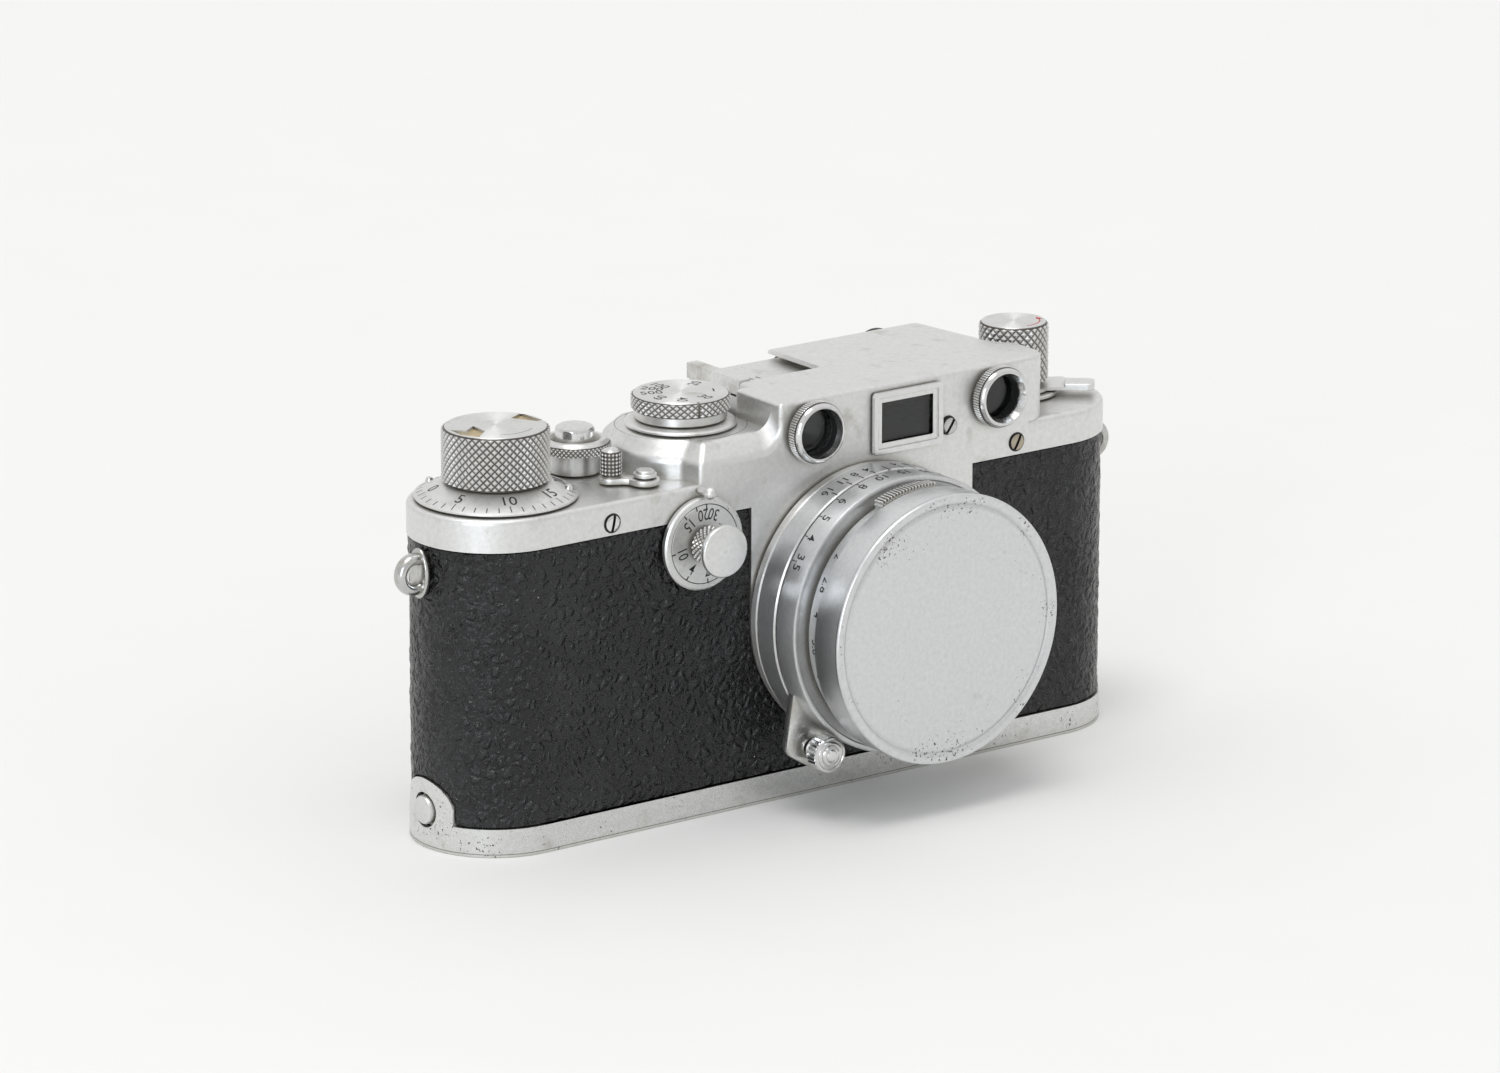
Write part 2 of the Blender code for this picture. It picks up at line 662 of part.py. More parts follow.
def accessory_shoe():
    left = SHOE_LEFT
    right = SHOE_LEFT + SHOE_WIDTH
    top = SHOE_BOTTOM + SHOE_HEIGHT
    lip = top - SHOE_LIP
    floor = SHOE_BOTTOM + SHOE_FLOOR
    section = [
        (left, SHOE_BOTTOM), (right, SHOE_BOTTOM), (right, top), (right - SHOE_LIP_RIGHT, top),
        (right - SHOE_LIP_RIGHT, lip), (right - SHOE_WALL, lip), (right - SHOE_WALL, floor),
        (left + SHOE_WALL, floor), (left + SHOE_WALL, lip), (left + SHOE_LIP_LEFT, lip),
        (left + SHOE_LIP_LEFT, top), (left, top),
    ]
    add("accessory_shoe", prism(section, -HOUSING_BACK, -SHOE_START), CHROME, (0, 0, 0), TO_FRONT)


def windows():
    wide = VIEW_WIDTH / 2
    tall = VIEW_HEIGHT / 2
    outer = rectangle(-wide - VIEW_FRAME, wide + VIEW_FRAME, -tall - VIEW_FRAME, tall + VIEW_FRAME)
    inner = rectangle(-wide, wide, -tall, tall)
    frame = sleeve(outer, inner, FRONT_SEAT, FRONT_SEAT + VIEW_FRAME_PROUD)
    add("viewfinder_frame", frame, BRIGHT, (VIEW_X, 0, VIEW_Z), TO_FRONT)
    pane = rectangle(-wide - VIEW_REBATE, wide + VIEW_REBATE, -tall - VIEW_REBATE, tall + VIEW_REBATE)
    glass = prism(pane, END_RADIUS - COVER_WALL, END_RADIUS)
    add("viewfinder_glass", glass, GLASS, (VIEW_X, 0, VIEW_Z), TO_FRONT)
    bezel_front = FRONT_SEAT + BEZEL_LENGTH
    bezel = [
        (BEZEL_BORE, FRONT_SEAT), (BEZEL_RADIUS, FRONT_SEAT),
        (BEZEL_RADIUS, bezel_front - BEZEL_CHAMFER), (BEZEL_RADIUS - BEZEL_CHAMFER, bezel_front),
        (BEZEL_BORE + BEZEL_CHAMFER, bezel_front), (BEZEL_BORE, bezel_front - BEZEL_CHAMFER),
    ]
    for side, x in (("left", RANGE_LEFT_X), ("right", RANGE_RIGHT_X)):
        add("rangefinder_bezel_" + side, turned(bezel, DIAL_STEPS), BRIGHT, (x, 0, RANGE_Z), TO_FRONT)
        pane = disc(WINDOW_GLASS, END_RADIUS - COVER_WALL, END_RADIUS, DIAL_STEPS)
        add("rangefinder_glass_" + side, pane, GLASS, (x, 0, RANGE_Z), TO_FRONT)


def eyepieces():
    back = HOUSING_BACK + SEAT
    end = back + EYEPIECE_LENGTH
    section = [
        (EYEPIECE_BORE, END_RADIUS), (EYEPIECE_TAIL, END_RADIUS), (EYEPIECE_TAIL, back),
        (EYEPIECE_RADIUS, back), (EYEPIECE_RADIUS, end - BEZEL_CHAMFER),
        (EYEPIECE_RADIUS - BEZEL_CHAMFER, end), (EYEPIECE_BORE, end),
    ]
    for side, x, z in (("viewfinder", VIEW_X, VIEW_Z), ("rangefinder", RANGE_EYE_X, RANGE_Z)):
        add(side + "_eyepiece", turned(section, DIAL_STEPS), BLACK, (x, 0, z), TO_BACK)
        lens = disc(EYEPIECE_BORE - SEAT, back, back + EYE_GLASS_THICKNESS, SMALL_STEPS)
        add(side + "_eye_glass", lens, GLASS, (x, 0, z), TO_BACK)


def rangefinder_inside():
    """A fixed prism behind the left window, and the arm that follows the back of the focusing sleeve."""
    inner_face = END_RADIUS - COVER_WALL - SEAT
    half = PRISM_WIDTH / 2
    plan = [(-half, -inner_face), (half, -inner_face), (half, PRISM_DEPTH - inner_face)]
    low = RANGE_Z - PRISM_HEIGHT / 2
    add("rangefinder_prism", prism(plan, low, low + PRISM_HEIGHT), GLASS, (RANGE_LEFT_X, 0, 0))
    pivot_y = ARM_SETBACK - END_RADIUS
    bar_low = LENS_Z + (SLEEVE_BORE + SLEEVE_RADIUS - ARM_BAR) / 2
    bar_high = bar_low + ARM_BAR
    reach = LENS_X - ARM_X
    shaft = disc(ARM_SHAFT, bar_low, DECK_TOP + ARM_SHAFT_RISE, SMALL_STEPS)
    arm = add("rangefinder_arm", shaft, STEEL, (ARM_X, pivot_y, 0))
    bar = prism(rectangle(0, reach, -ARM_BAR / 2, ARM_BAR / 2), bar_low + JOIN_STEP, bar_high)
    roller_reach = pivot_y + SLEEVE_BACK - SEAT
    roller_plan = rectangle(reach - ARM_ROLLER / 2, reach + ARM_ROLLER / 2, -roller_reach, 0)
    roller = prism(roller_plan, bar_low, bar_high + JOIN_STEP)
    join(arm, tool("arm_bar", bar, arm.location), tool("arm_roller", roller, arm.location))


def front_screws():
    slot = rectangle(-SCREW_SLOT / 2, SCREW_SLOT / 2, -2 * SCREW_RADIUS, 2 * SCREW_RADIUS)
    slot_turn = (pi / 2, radians(SCREW_TURN), 0)
    places = (
        ("cover_screw_left", SCREW_LEFT),
        ("window_screw", SCREW_WINDOW),
        ("cover_screw_right", SCREW_RIGHT),
    )
    for name, (x, z) in places:
        head = disc(SCREW_RADIUS, FRONT_SEAT, FRONT_SEAT + SCREW_HEAD, SMALL_STEPS)
        screw = add(name, head, STEEL, (x, 0, z), TO_FRONT)
        groove = prism(slot, FRONT_SEAT + SCREW_HEAD / 2, FRONT_SEAT + 2 * SCREW_HEAD)
        cut(screw, tool(name + "_slot", groove, (x, 0, z), slot_turn))


def strap_lugs():
    """Eyelets at both ends: a ring in the X-Z plane on a foot plate against the covering."""
    foot = BODY_LENGTH / 2 + SEAT
    foot_face = foot + LUG_FOOT_THICKNESS
    tall = LUG_FOOT_HEIGHT / 2
    half = LUG_FOOT_WIDTH / 2
    thick = LUG_THICKNESS / 2
    place = (0, 0, LUG_HEIGHT)
    inside = rectangle(-foot, foot, -2 * LUG_RADIUS, 2 * LUG_RADIUS)
    for side, sign in (("left", -1), ("right", 1)):
        centre = (sign * (foot_face + LUG_HOLE), 0)
        face = rectangle(sign * foot, sign * foot_face, -tall, tall)
        lug = add("strap_lug_" + side, prism(face, -half, half), CHROME, place, TO_FRONT)
        eye = prism(circle(centre, LUG_RADIUS, DIAL_STEPS), -thick, thick)
        hole = prism(circle(centre, LUG_HOLE, SMALL_STEPS), -LUG_THICKNESS, LUG_THICKNESS)
        join(lug, tool("lug_eye_" + side, eye, place, TO_FRONT))
        hollow = prism(inside, -LUG_THICKNESS, LUG_THICKNESS)
        cut(lug, tool("lug_inside_" + side, hollow, place, TO_FRONT))
        cut(lug, tool("lug_hole_" + side, hole, place, TO_FRONT))


def base_plate():
    """A shallow pan with an upright tab at its left end, which hooks over a stud on the body."""
    pan = loft([
        (stadium(END_RADIUS - BASE_CHAMFER), 0),
        (stadium(END_RADIUS), BASE_CHAMFER),
        (stadium(END_RADIUS), 2 * TAB_TOP),
    ])
    plate = add("baseplate", pan, CHROME)
    high = 3 * TAB_TOP
    wide = BODY_THICKNESS
    around_tab = [(-wide, BASE_RIM_TOP)] + tab_outline(0)
    around_tab += [(wide, BASE_RIM_TOP), (wide, high), (-wide, high)]
    inside = prism(stadium(END_RADIUS - SKIN), BASE_FLOOR, high)
    right_end = prism(rectangle(-END_X, BODY_LENGTH, -wide, wide), BASE_RIM_TOP, high)
    left_end = prism(around_tab, -BODY_LENGTH, SHELL_WALL - END_X)
    cut(plate, tool("plate_inside", inside), tool("plate_right", right_end))
    cut(plate, tool("plate_left", left_end, (0, 0, 0), TO_RIGHT))
    stud_hole = disc(STUD_RADIUS + STUD_PLAY, 0, BODY_LENGTH, DIAL_STEPS)
    cut(plate, tool("stud_hole", stud_hole, (-END_X, 0, STUD_HEIGHT), TO_LEFT))
    recess = disc(KEY_RADIUS + SEAT, -BASE_FLOOR, KEY_RECESS, DIAL_STEPS)
    spindle_hole = disc(KEY_SPINDLE + SEAT, 0, 2 * BASE_FLOOR, SMALL_STEPS)
    bush_hole = disc(TRIPOD_RADIUS + SEAT, -BASE_FLOOR, 2 * BASE_FLOOR, DIAL_STEPS)
    cut(plate, tool("key_recess", recess, (KEY_X, 0, 0)))
    cut(plate, tool("key_spindle_hole", spindle_hole, (KEY_X, 0, 0)))
    cut(plate, tool("bush_hole", bush_hole, (TRIPOD_X, 0, 0)))
    stud = disc(STUD_RADIUS, SHELL_RADIUS + SEAT, END_RADIUS + STUD_PROUD, DIAL_STEPS)
    add("baseplate_stud", stud, STEEL, (-END_X, 0, STUD_HEIGHT), TO_LEFT)


def base_key():
    """Round key in a recess of the base plate, with its bolt above the floor and a folding handle below."""
    top = KEY_RECESS - SEAT
    bolt_low = BASE_FLOOR + SEAT
    bolt_middle = bolt_low + KEY_BOLT_THICKNESS / 2
    shape = [
        (0, top - KEY_THICKNESS), (KEY_RADIUS, top - KEY_THICKNESS), (KEY_RADIUS, top),
        (KEY_SPINDLE, top), (KEY_SPINDLE, bolt_middle), (0, bolt_middle),
    ]
    key = add("baseplate_key", turned(shape, DIAL_STEPS), CHROME, (KEY_X, 0, 0))
    half = KEY_BOLT_LENGTH / 2
    bolt_plan = rectangle(-half, half, -KEY_BOLT_WIDTH / 2, KEY_BOLT_WIDTH / 2)
    join(key, tool("key_bolt", prism(bolt_plan, bolt_low, bolt_low + KEY_BOLT_THICKNESS), key.location))
    bar = HANDLE_BAR / 2
    handle_top = top - KEY_THICKNESS - SEAT
    handle_place = (KEY_X, 0, handle_top - HANDLE_THICKNESS / 2)
    outer = [(HANDLE_RADIUS, -bar)] + arc((0, bar), HANDLE_RADIUS, 0, 180, END_STEPS)
    outer += [(-HANDLE_RADIUS, -bar)]
    half_disc = prism(outer, -HANDLE_THICKNESS / 2, HANDLE_THICKNESS / 2)
    handle = add("key_handle", half_disc, STEEL, handle_place)
    window = arc((0, bar), HANDLE_RADIUS - HANDLE_WIDTH, 0, 180, END_STEPS)
    cut(handle, tool("handle_window", prism(window, -HANDLE_THICKNESS, HANDLE_THICKNESS), handle_place))


def tripod_bush():
    low = BASE_CHAMFER / 2
    seat = BASE_FLOOR + SEAT
    flange = TRIPOD_RADIUS + TRIPOD_FLANGE
    top = low + TRIPOD_DEPTH + TRIPOD_CAP
    shape = [
        (0, low + TRIPOD_DEPTH), (TRIPOD_BORE, low + TRIPOD_DEPTH), (TRIPOD_BORE, low),
        (TRIPOD_RADIUS, low), (TRIPOD_RADIUS, seat), (flange, seat), (flange, seat + TRIPOD_CAP),
        (TRIPOD_RADIUS, seat + TRIPOD_CAP), (TRIPOD_RADIUS, top), (0, top),
    ]
    add("tripod_bush", turned(shape, DIAL_STEPS), STEEL, (TRIPOD_X, 0, 0))


def winding():
    counter_low = DECK_SEAT
    counter_top = counter_low + COUNTER_HEIGHT
    bore = WIND_STEM + SEAT
    cone = [
        (bore, counter_low), (COUNTER_RADIUS, counter_low), (COUNTER_RADIUS, counter_low + COUNTER_RIM),
        (WIND_RADIUS, counter_top), (bore, counter_top),
    ]
    add("counter_dial", turned(cone, DIAL_STEPS), CHROME, (WIND_X, 0, 0))
    low = counter_top + SEAT
    high = low + WIND_HEIGHT
    knob = [
        (0, SPOOL_TOP + SEAT), (WIND_STEM, SPOOL_TOP + SEAT), (WIND_STEM, low),
        (WIND_RADIUS - KNOB_CHAMFER, low), (WIND_RADIUS, low + KNOB_CHAMFER),
        (WIND_RADIUS, high - KNOB_CHAMFER), (WIND_RADIUS - KNOB_CHAMFER, high), (0, high),
    ]
    add("wind_knob", turned(knob, DIAL_STEPS), CHROME, (WIND_X, 0, 0))
    core_low = SPOOL_BOTTOM + SPOOL_FLANGE_THICKNESS
    core_high = SPOOL_TOP - SPOOL_FLANGE_THICKNESS
    spool = [
        (0, SPOOL_BOTTOM), (SPOOL_FLANGE, SPOOL_BOTTOM), (SPOOL_FLANGE, core_low), (SPOOL_CORE, core_low),
        (SPOOL_CORE, core_high), (SPOOL_FLANGE, core_high), (SPOOL_FLANGE, SPOOL_TOP), (0, SPOOL_TOP),
    ]
    add("takeup_spool", turned(spool, DIAL_STEPS), BLACK, (WIND_X, 0, 0))
    toothed = []
    half_pitch = 180 / SPROCKET_TEETH
    for i in range(2 * SPROCKET_TEETH):
        radius = SPROCKET_RADIUS + (SPROCKET_TOOTH if i % 2 else 0)
        start = (i - SPROCKET_TOOTH_SHARE) * half_pitch
        end = (i + SPROCKET_TOOTH_SHARE) * half_pitch
        toothed += arc((0, 0), radius, start, end, 1)
    place = (RELEASE_X, RELEASE_Y, 0)
    sprocket = add("film_sprocket", prism(toothed, SPROCKET_BOTTOM, SPROCKET_TOP), STEEL, place)
    shaft = disc(JOURNAL, SPROCKET_BOTTOM - JOURNAL_LENGTH, SHELL_TOP, SMALL_STEPS)
    join(sprocket, tool("sprocket_shaft", shaft, place))


def shutter_release():
    place = (RELEASE_X, RELEASE_Y, 0)
    button_top = DECK_TOP + RELEASE_BUTTON_TOP
    button_low = button_top - RELEASE_BUTTON_LENGTH
    pocket = button_low - RELEASE_TRAVEL - SEAT
    ring_low = DECK_TOP + RELEASE_RING_LOW
    ring_high = DECK_TOP + RELEASE_RING_HIGH
    stem_hole = RELEASE_STEM + SEAT
    collar = [
        (stem_hole, DECK_SEAT), (RELEASE_COLLAR, DECK_SEAT), (RELEASE_COLLAR, ring_low),
        (RELEASE_RING, ring_low), (RELEASE_RING, ring_high), (RELEASE_BUTTON + SEAT, ring_high),
        (RELEASE_BUTTON + SEAT, pocket), (stem_hole, pocket),
    ]
    add("release_collar", turned(collar, DIAL_STEPS), CHROME, place)
    stem_low = button_low - RELEASE_STEM_LENGTH
    button = [
        (0, stem_low), (RELEASE_STEM, stem_low), (RELEASE_STEM, button_low), (RELEASE_BUTTON, button_low),
        (RELEASE_BUTTON, button_top - KNOB_CHAMFER), (RELEASE_BUTTON - KNOB_CHAMFER, button_top),
        (0, button_top),
    ]
    add("release_button", turned(button, DIAL_STEPS), BRIGHT, place)


def change_lever():
    """Lever between winding and rewinding: a flat plate with an upright knurled post at its tip."""
    place = (LEVER_PIVOT_X, LEVER_PIVOT_Y, 0)
    turn = (0, 0, radians(LEVER_ANGLE))
    top = DECK_SEAT + LEVER_THICKNESS
    plan = arc((LEVER_LENGTH, 0), LEVER_TIP, -90, 90, END_STEPS // 2)
    plan += arc((0, 0), LEVER_EYE, 90, 270, END_STEPS // 2)
    lever = add("rewind_lever", prism(plan, DECK_SEAT, top), CHROME, place, turn)
    post_plan = circle((LEVER_LENGTH, 0), LEVER_POST, SMALL_STEPS)
    post = prism(post_plan, DECK_SEAT + LEVER_THICKNESS / 2, top + LEVER_POST_HEIGHT)
    join(lever, tool("lever_post", post, place, turn))
    cut(lever, tool("lever_eye", disc(LEVER_PIN + SEAT, 0, HOUSING_TOP, SMALL_STEPS), place))
    head = top + SEAT
    screw = [
        (0, DECK_SEAT), (LEVER_PIN, DECK_SEAT), (LEVER_PIN, head), (LEVER_SCREW, head),
        (LEVER_SCREW, head + LEVER_SCREW_HEIGHT), (0, head + LEVER_SCREW_HEIGHT),
    ]
    add("rewind_lever_screw", turned(screw, SMALL_STEPS), STEEL, place)


def speed_setting():
    place = (SPEED_X, 0, 0)
    ring_low = RAISED_TOP + SEAT
    ring_top = ring_low + SPEED_RING_HEIGHT
    bore = SPINDLE + SEAT
    add("speed_ring", ring(bore, SPEED_RING, ring_low, ring_top, DIAL_STEPS), CHROME, place)
    low = ring_top + SEAT
    band = low + SPEED_BAND_HEIGHT
    high = low + SPEED_DIAL_HEIGHT
    cap = high - SPEED_CAP
    dial = [
        (0, cap), (bore, cap), (bore, low), (SPEED_BAND, low), (SPEED_BAND, band), (SPEED_DIAL, band),
        (SPEED_DIAL, high - KNOB_CHAMFER), (SPEED_DIAL - KNOB_CHAMFER, high), (0, high),
    ]
    add("speed_dial", turned(dial, DIAL_STEPS), CHROME, place)
    spindle = disc(SPINDLE, SHELL_TOP + SEAT, cap - SEAT, SMALL_STEPS)
    add("speed_spindle", spindle, STEEL, place)


def shutter_works():
    """Crate with the film gate, its two curtain shafts, and the plate that presses the film flat."""
    inside_low = CRATE_BOTTOM + CRATE_WALL
    inside_high = SHELL_TOP - CRATE_WALL
    block_plan = rectangle(CRATE_LEFT, CRATE_RIGHT, CRATE_FRONT, CRATE_BACK)
    crate = add("shutter_crate", prism(block_plan, CRATE_BOTTOM, SHELL_TOP), BLACK)
    wide = BODY_LENGTH / 2
    hollow_plan = rectangle(-wide, wide, CRATE_FRONT + CRATE_WALL, CRATE_INSIDE_BACK)
    cut(crate, tool("crate_inside", prism(hollow_plan, inside_low, inside_high)))
    cut(crate, front_drill("barrel_hole", LENS_X, LENS_Z, SLEEVE_BORE, LENS_STEPS))
    gate = rectangle(-GATE_WIDTH / 2, GATE_WIDTH / 2, -GATE_HEIGHT / 2, GATE_HEIGHT / 2)
    cut(crate, tool("film_gate", prism(gate, 0, BODY_THICKNESS), (LENS_X, 0, LENS_Z), TO_BACK))
    shafts = (
        ("curtain_drum", SPEED_X, 0, DRUM_RADIUS),
        ("curtain_roller", ROLLER_X, ROLLER_Y, ROLLER_RADIUS),
    )
    low = inside_low + SEAT
    high = inside_high - SEAT
    for name, x, y, radius in shafts:
        shape = [
            (0, CRATE_BOTTOM), (JOURNAL, CRATE_BOTTOM), (JOURNAL, low), (radius, low), (radius, high),
            (JOURNAL, high), (JOURNAL, SHELL_TOP), (0, SHELL_TOP),
        ]
        add(name, turned(shape, SMALL_STEPS), BLACK, (x, y, 0))
        cut(crate, tool(name + "_bearing", disc(JOURNAL + SEAT, 0, DECK_TOP, SMALL_STEPS), (x, y, 0)))
    half = GATE_WIDTH / 2 + PLATE_BORDER
    tall = GATE_HEIGHT / 2 + PLATE_BORDER
    plate_front = CRATE_BACK + SEAT
    plate = prism(rectangle(-half, half, -tall, tall), plate_front, plate_front + PLATE_THICKNESS)
    add("pressure_plate", plate, BLACK, (LENS_X, 0, LENS_Z), TO_BACK)


def slow_speeds():
    place = (SLOW_X, 0, SLOW_Z)
    face = FRONT_SEAT + SLOW_DIAL_THICKNESS
    plate = [
        (SLOW_STEM + SEAT, FRONT_SEAT), (SLOW_DIAL, FRONT_SEAT), (SLOW_DIAL, face - KNOB_CHAMFER),
        (SLOW_DIAL - KNOB_CHAMFER, face), (SLOW_STEM + SEAT, face),
    ]
    add("slow_dial", turned(plate, DIAL_STEPS), CHROME, place, TO_FRONT)
    low = face + SEAT
    high = low + SLOW_KNOB_LENGTH
    knob = [
        (0, low - SLOW_STEM_LENGTH), (SLOW_STEM, low - SLOW_STEM_LENGTH), (SLOW_STEM, low),
        (SLOW_KNOB, low), (SLOW_KNOB, high - KNOB_CHAMFER), (SLOW_KNOB - KNOB_CHAMFER, high), (0, high),
    ]
    add("slow_knob", turned(knob, DIAL_STEPS), CHROME, place, TO_FRONT)
    start = acos(INDEX_STEM / INDEX_BALL)
    centre = FRONT_SEAT + INDEX_REACH + INDEX_BALL * sin(start)
    ball = arc((0, centre), INDEX_BALL, -degrees(start), 90, SMALL_STEPS // 2)
    stud = [(0, FRONT_SEAT), (INDEX_STEM, FRONT_SEAT)] + ball[:-1] + [(0, centre + INDEX_BALL)]
    stud_z = SLOW_Z + SLOW_DIAL + SEAT + INDEX_STEM
    add("slow_index_stud", turned(stud, SMALL_STEPS), CHROME, (SLOW_X, 0, stud_z), TO_FRONT)


def rewinding():
    place = (REWIND_X, REWIND_Y, 0)
    bore = REWIND_SHAFT + SEAT
    flange_top = DECK_SEAT + REWIND_FLANGE_HEIGHT
    add("rewind_flange", ring(bore, REWIND_FLANGE, DECK_SEAT, flange_top, DIAL_STEPS), CHROME, place)
    lever_low = flange_top + SEAT
    lever_top = lever_low + EYE_LEVER_THICKNESS
    eye = ring(bore, EYE_LEVER_RING, lever_low, lever_top, DIAL_STEPS)
    lever = add("eyesight_lever", eye, CHROME, place)
    half = EYE_LEVER_WIDTH / 2
    arm = prism(rectangle(EYE_LEVER_RING / 2, EYE_LEVER_REACH, -half, half), lever_low, lever_top)
    join(lever, tool("eyesight_arm", arm, place, (0, 0, radians(EYE_LEVER_ANGLE))))
    low = lever_top + SEAT
    high = low + REWIND_HEIGHT
    top = high - REWIND_CAP
    knob = [
        (0, top), (bore, top), (bore, low), (REWIND_RADIUS, low), (REWIND_RADIUS, high - KNOB_CHAMFER),
        (REWIND_RADIUS - KNOB_CHAMFER, high), (0, high),
    ]
    add("rewind_knob", turned(knob, DIAL_STEPS), CHROME, place)
    rod = disc(REWIND_SHAFT, REWIND_FORK_BOTTOM, top - SEAT, SMALL_STEPS)
    shaft = add("rewind_shaft", rod, STEEL, place)
    slot = rectangle(-REWIND_FORK_SLOT / 2, REWIND_FORK_SLOT / 2, -2 * REWIND_SHAFT, 2 * REWIND_SHAFT)
    slot_tool = prism(slot, 0, REWIND_FORK_BOTTOM + REWIND_FORK_DEPTH)
    cut(shaft, tool("fork_slot", slot_tool, place))


def lens_ring_piece(name, profile, finish):
    return add(name, turned(profile, LENS_STEPS), finish, (LENS_X, 0, LENS_Z), TO_FRONT)


def lens_fixed_parts():
    mount = [
        (MOUNT_BORE, MOUNT_BACK), (MOUNT_TAIL_RADIUS, MOUNT_BACK), (MOUNT_TAIL_RADIUS, FRONT_SEAT),
        (MOUNT_RADIUS, FRONT_SEAT), (MOUNT_RADIUS, MOUNT_FRONT), (MOUNT_BORE, MOUNT_FRONT),
    ]
    lens_ring_piece("lens_mount", mount, CHROME)
    base = [
        (BASE_RING_BORE, MOUNT_BACK), (BASE_RING_TAIL, MOUNT_BACK), (BASE_RING_TAIL, BASE_RING_BACK),
        (BASE_RING_RADIUS, BASE_RING_BACK), (BASE_RING_RADIUS, BASE_RING_FRONT),
        (BASE_RING_BORE, BASE_RING_FRONT),
    ]
    lens_ring_piece("lens_base_ring", base, CHROME)


def focusing():
    focus = [
        (BASE_RING_BORE, FOCUS_BACK), (FOCUS_RADIUS, FOCUS_BACK),
        (FOCUS_RADIUS, FOCUS_FRONT - FOCUS_BEVEL), (FOCUS_RADIUS - FOCUS_BEVEL, FOCUS_FRONT),
        (BASE_RING_BORE, FOCUS_FRONT),
    ]
    place = (LENS_X, 0, LENS_Z)
    focus_ring = lens_ring_piece("focus_ring", focus, CHROME)
    turn = (pi / 2, -radians(FOCUS_LEVER_ANGLE), 0)
    root = (BASE_RING_BORE + FOCUS_RADIUS) / 2
    plan = [(root, -FOCUS_LEVER_END)]
    plan += arc((FOCUS_LEVER_REACH, 0), FOCUS_LEVER_END, -90, 90, END_STEPS)
    plan += [(root, FOCUS_LEVER_END)]
    join(focus_ring, tool("focus_lever", prism(plan, FOCUS_BACK, LEVER_FRONT), place, turn))
    angle = radians(FOCUS_LEVER_ANGLE)
    lock_place = (LENS_X + FOCUS_LEVER_REACH * cos(angle), 0, LENS_Z + FOCUS_LEVER_REACH * sin(angle))
    lock_hole = disc(LOCK_STEM + SEAT, BASE_RING_BACK, CAP_FRONT, SMALL_STEPS)
    cut(focus_ring, tool("lock_hole", lock_hole, lock_place, TO_FRONT))
    head = LEVER_FRONT + LOCK_TRAVEL + SEAT
    end = head + LOCK_LENGTH
    lock = [
        (0, FOCUS_BACK), (LOCK_STEM, FOCUS_BACK), (LOCK_STEM, head), (LOCK_RADIUS, head),
        (LOCK_RADIUS, end - KNOB_CHAMFER), (LOCK_RADIUS - KNOB_CHAMFER, end), (0, end),
    ]
    add("focus_lock_knob", turned(lock, SMALL_STEPS), CHROME, lock_place, TO_FRONT)
    tube = ring(SLEEVE_BORE, SLEEVE_RADIUS, SLEEVE_BACK, FOCUS_FRONT, LENS_STEPS)
    add("focus_sleeve", tube, STEEL, place, TO_FRONT)


def lens_glass(name, low):
    """A double convex lens; each surface has one ring of points between its edge and its middle."""
    radius = BARREL_BORE - SEAT
    middle = radius * GLASS_MIDDLE
    drop = GLASS_CROWN * GLASS_MIDDLE ** 2
    edge = low + GLASS_CROWN
    high = edge + GLASS_EDGE + GLASS_CROWN
    shape = [(0, low), (middle, low + drop), (radius, edge), (radius, edge + GLASS_EDGE)]
    shape += [(middle, high - drop), (0, high)]
    lens_ring_piece(name, shape, GLASS)


def collapsible_barrel():
    barrel = [
        (BARREL_BORE, BARREL_BACK), (BARREL_RADIUS, BARREL_BACK), (BARREL_RADIUS, HEAD_BACK),
        (HEAD_RADIUS, HEAD_BACK), (HEAD_RADIUS, HEAD_FRONT), (BARREL_BORE, HEAD_FRONT),
    ]
    lens_ring_piece("lens_barrel", barrel, CHROME)
    aperture = [
        (SLEEVE_BORE, APERTURE_BACK), (APERTURE_RADIUS, APERTURE_BACK),
        (APERTURE_RADIUS, APERTURE_FRONT), (SLEEVE_BORE, APERTURE_FRONT),
    ]
    lens_ring_piece("aperture_ring", aperture, CHROME)
    iris_back = (APERTURE_BACK + APERTURE_FRONT - IRIS_THICKNESS) / 2 - GLASS_EDGE - 2 * GLASS_CROWN
    iris = ring(IRIS_OPENING, BARREL_BORE - SEAT, iris_back, iris_back + IRIS_THICKNESS, LENS_STEPS)
    add("iris_ring", iris, BLACK, (LENS_X, 0, LENS_Z), TO_FRONT)
    lens_glass("front_glass", HEAD_FRONT - GLASS_SETBACK - GLASS_EDGE - 2 * GLASS_CROWN)
    lens_glass("rear_glass", BARREL_BACK + GLASS_SETBACK)
    rim = CAP_RADIUS - CAP_RIM_WIDTH
    rim_front = CAP_FRONT + CAP_RIM
    cap = [
        (0, CAP_INSIDE), (CAP_BORE, CAP_INSIDE), (CAP_BORE, CAP_BACK), (CAP_RADIUS, CAP_BACK),
        (CAP_RADIUS, rim_front), (rim, rim_front), (rim - CAP_RIM, CAP_FRONT), (0, CAP_FRONT),
    ]
    lens_ring_piece("lens_cap", cap, CHROME)


def build():
    clear_scene()
    throat = front_drill("throat", LENS_X, LENS_Z, MOUNT_TAIL_RADIUS + SEAT, LENS_STEPS)
    slow_hole = front_drill("slow_hole", SLOW_X, SLOW_Z, SLOW_STEM + SEAT, SMALL_STEPS)
    body_shell(throat, slow_hole)
    leather_cover(slow_hole)
    top_cover(throat)
    accessory_shoe()
    windows()
    eyepieces()
    rangefinder_inside()
    front_screws()
    strap_lugs()
    base_plate()
    base_key()
    tripod_bush()
    winding()
    shutter_release()
    change_lever()
    speed_setting()
    shutter_works()
    slow_speeds()
    rewinding()
    lens_fixed_parts()
    focusing()
    collapsible_barrel()


build()
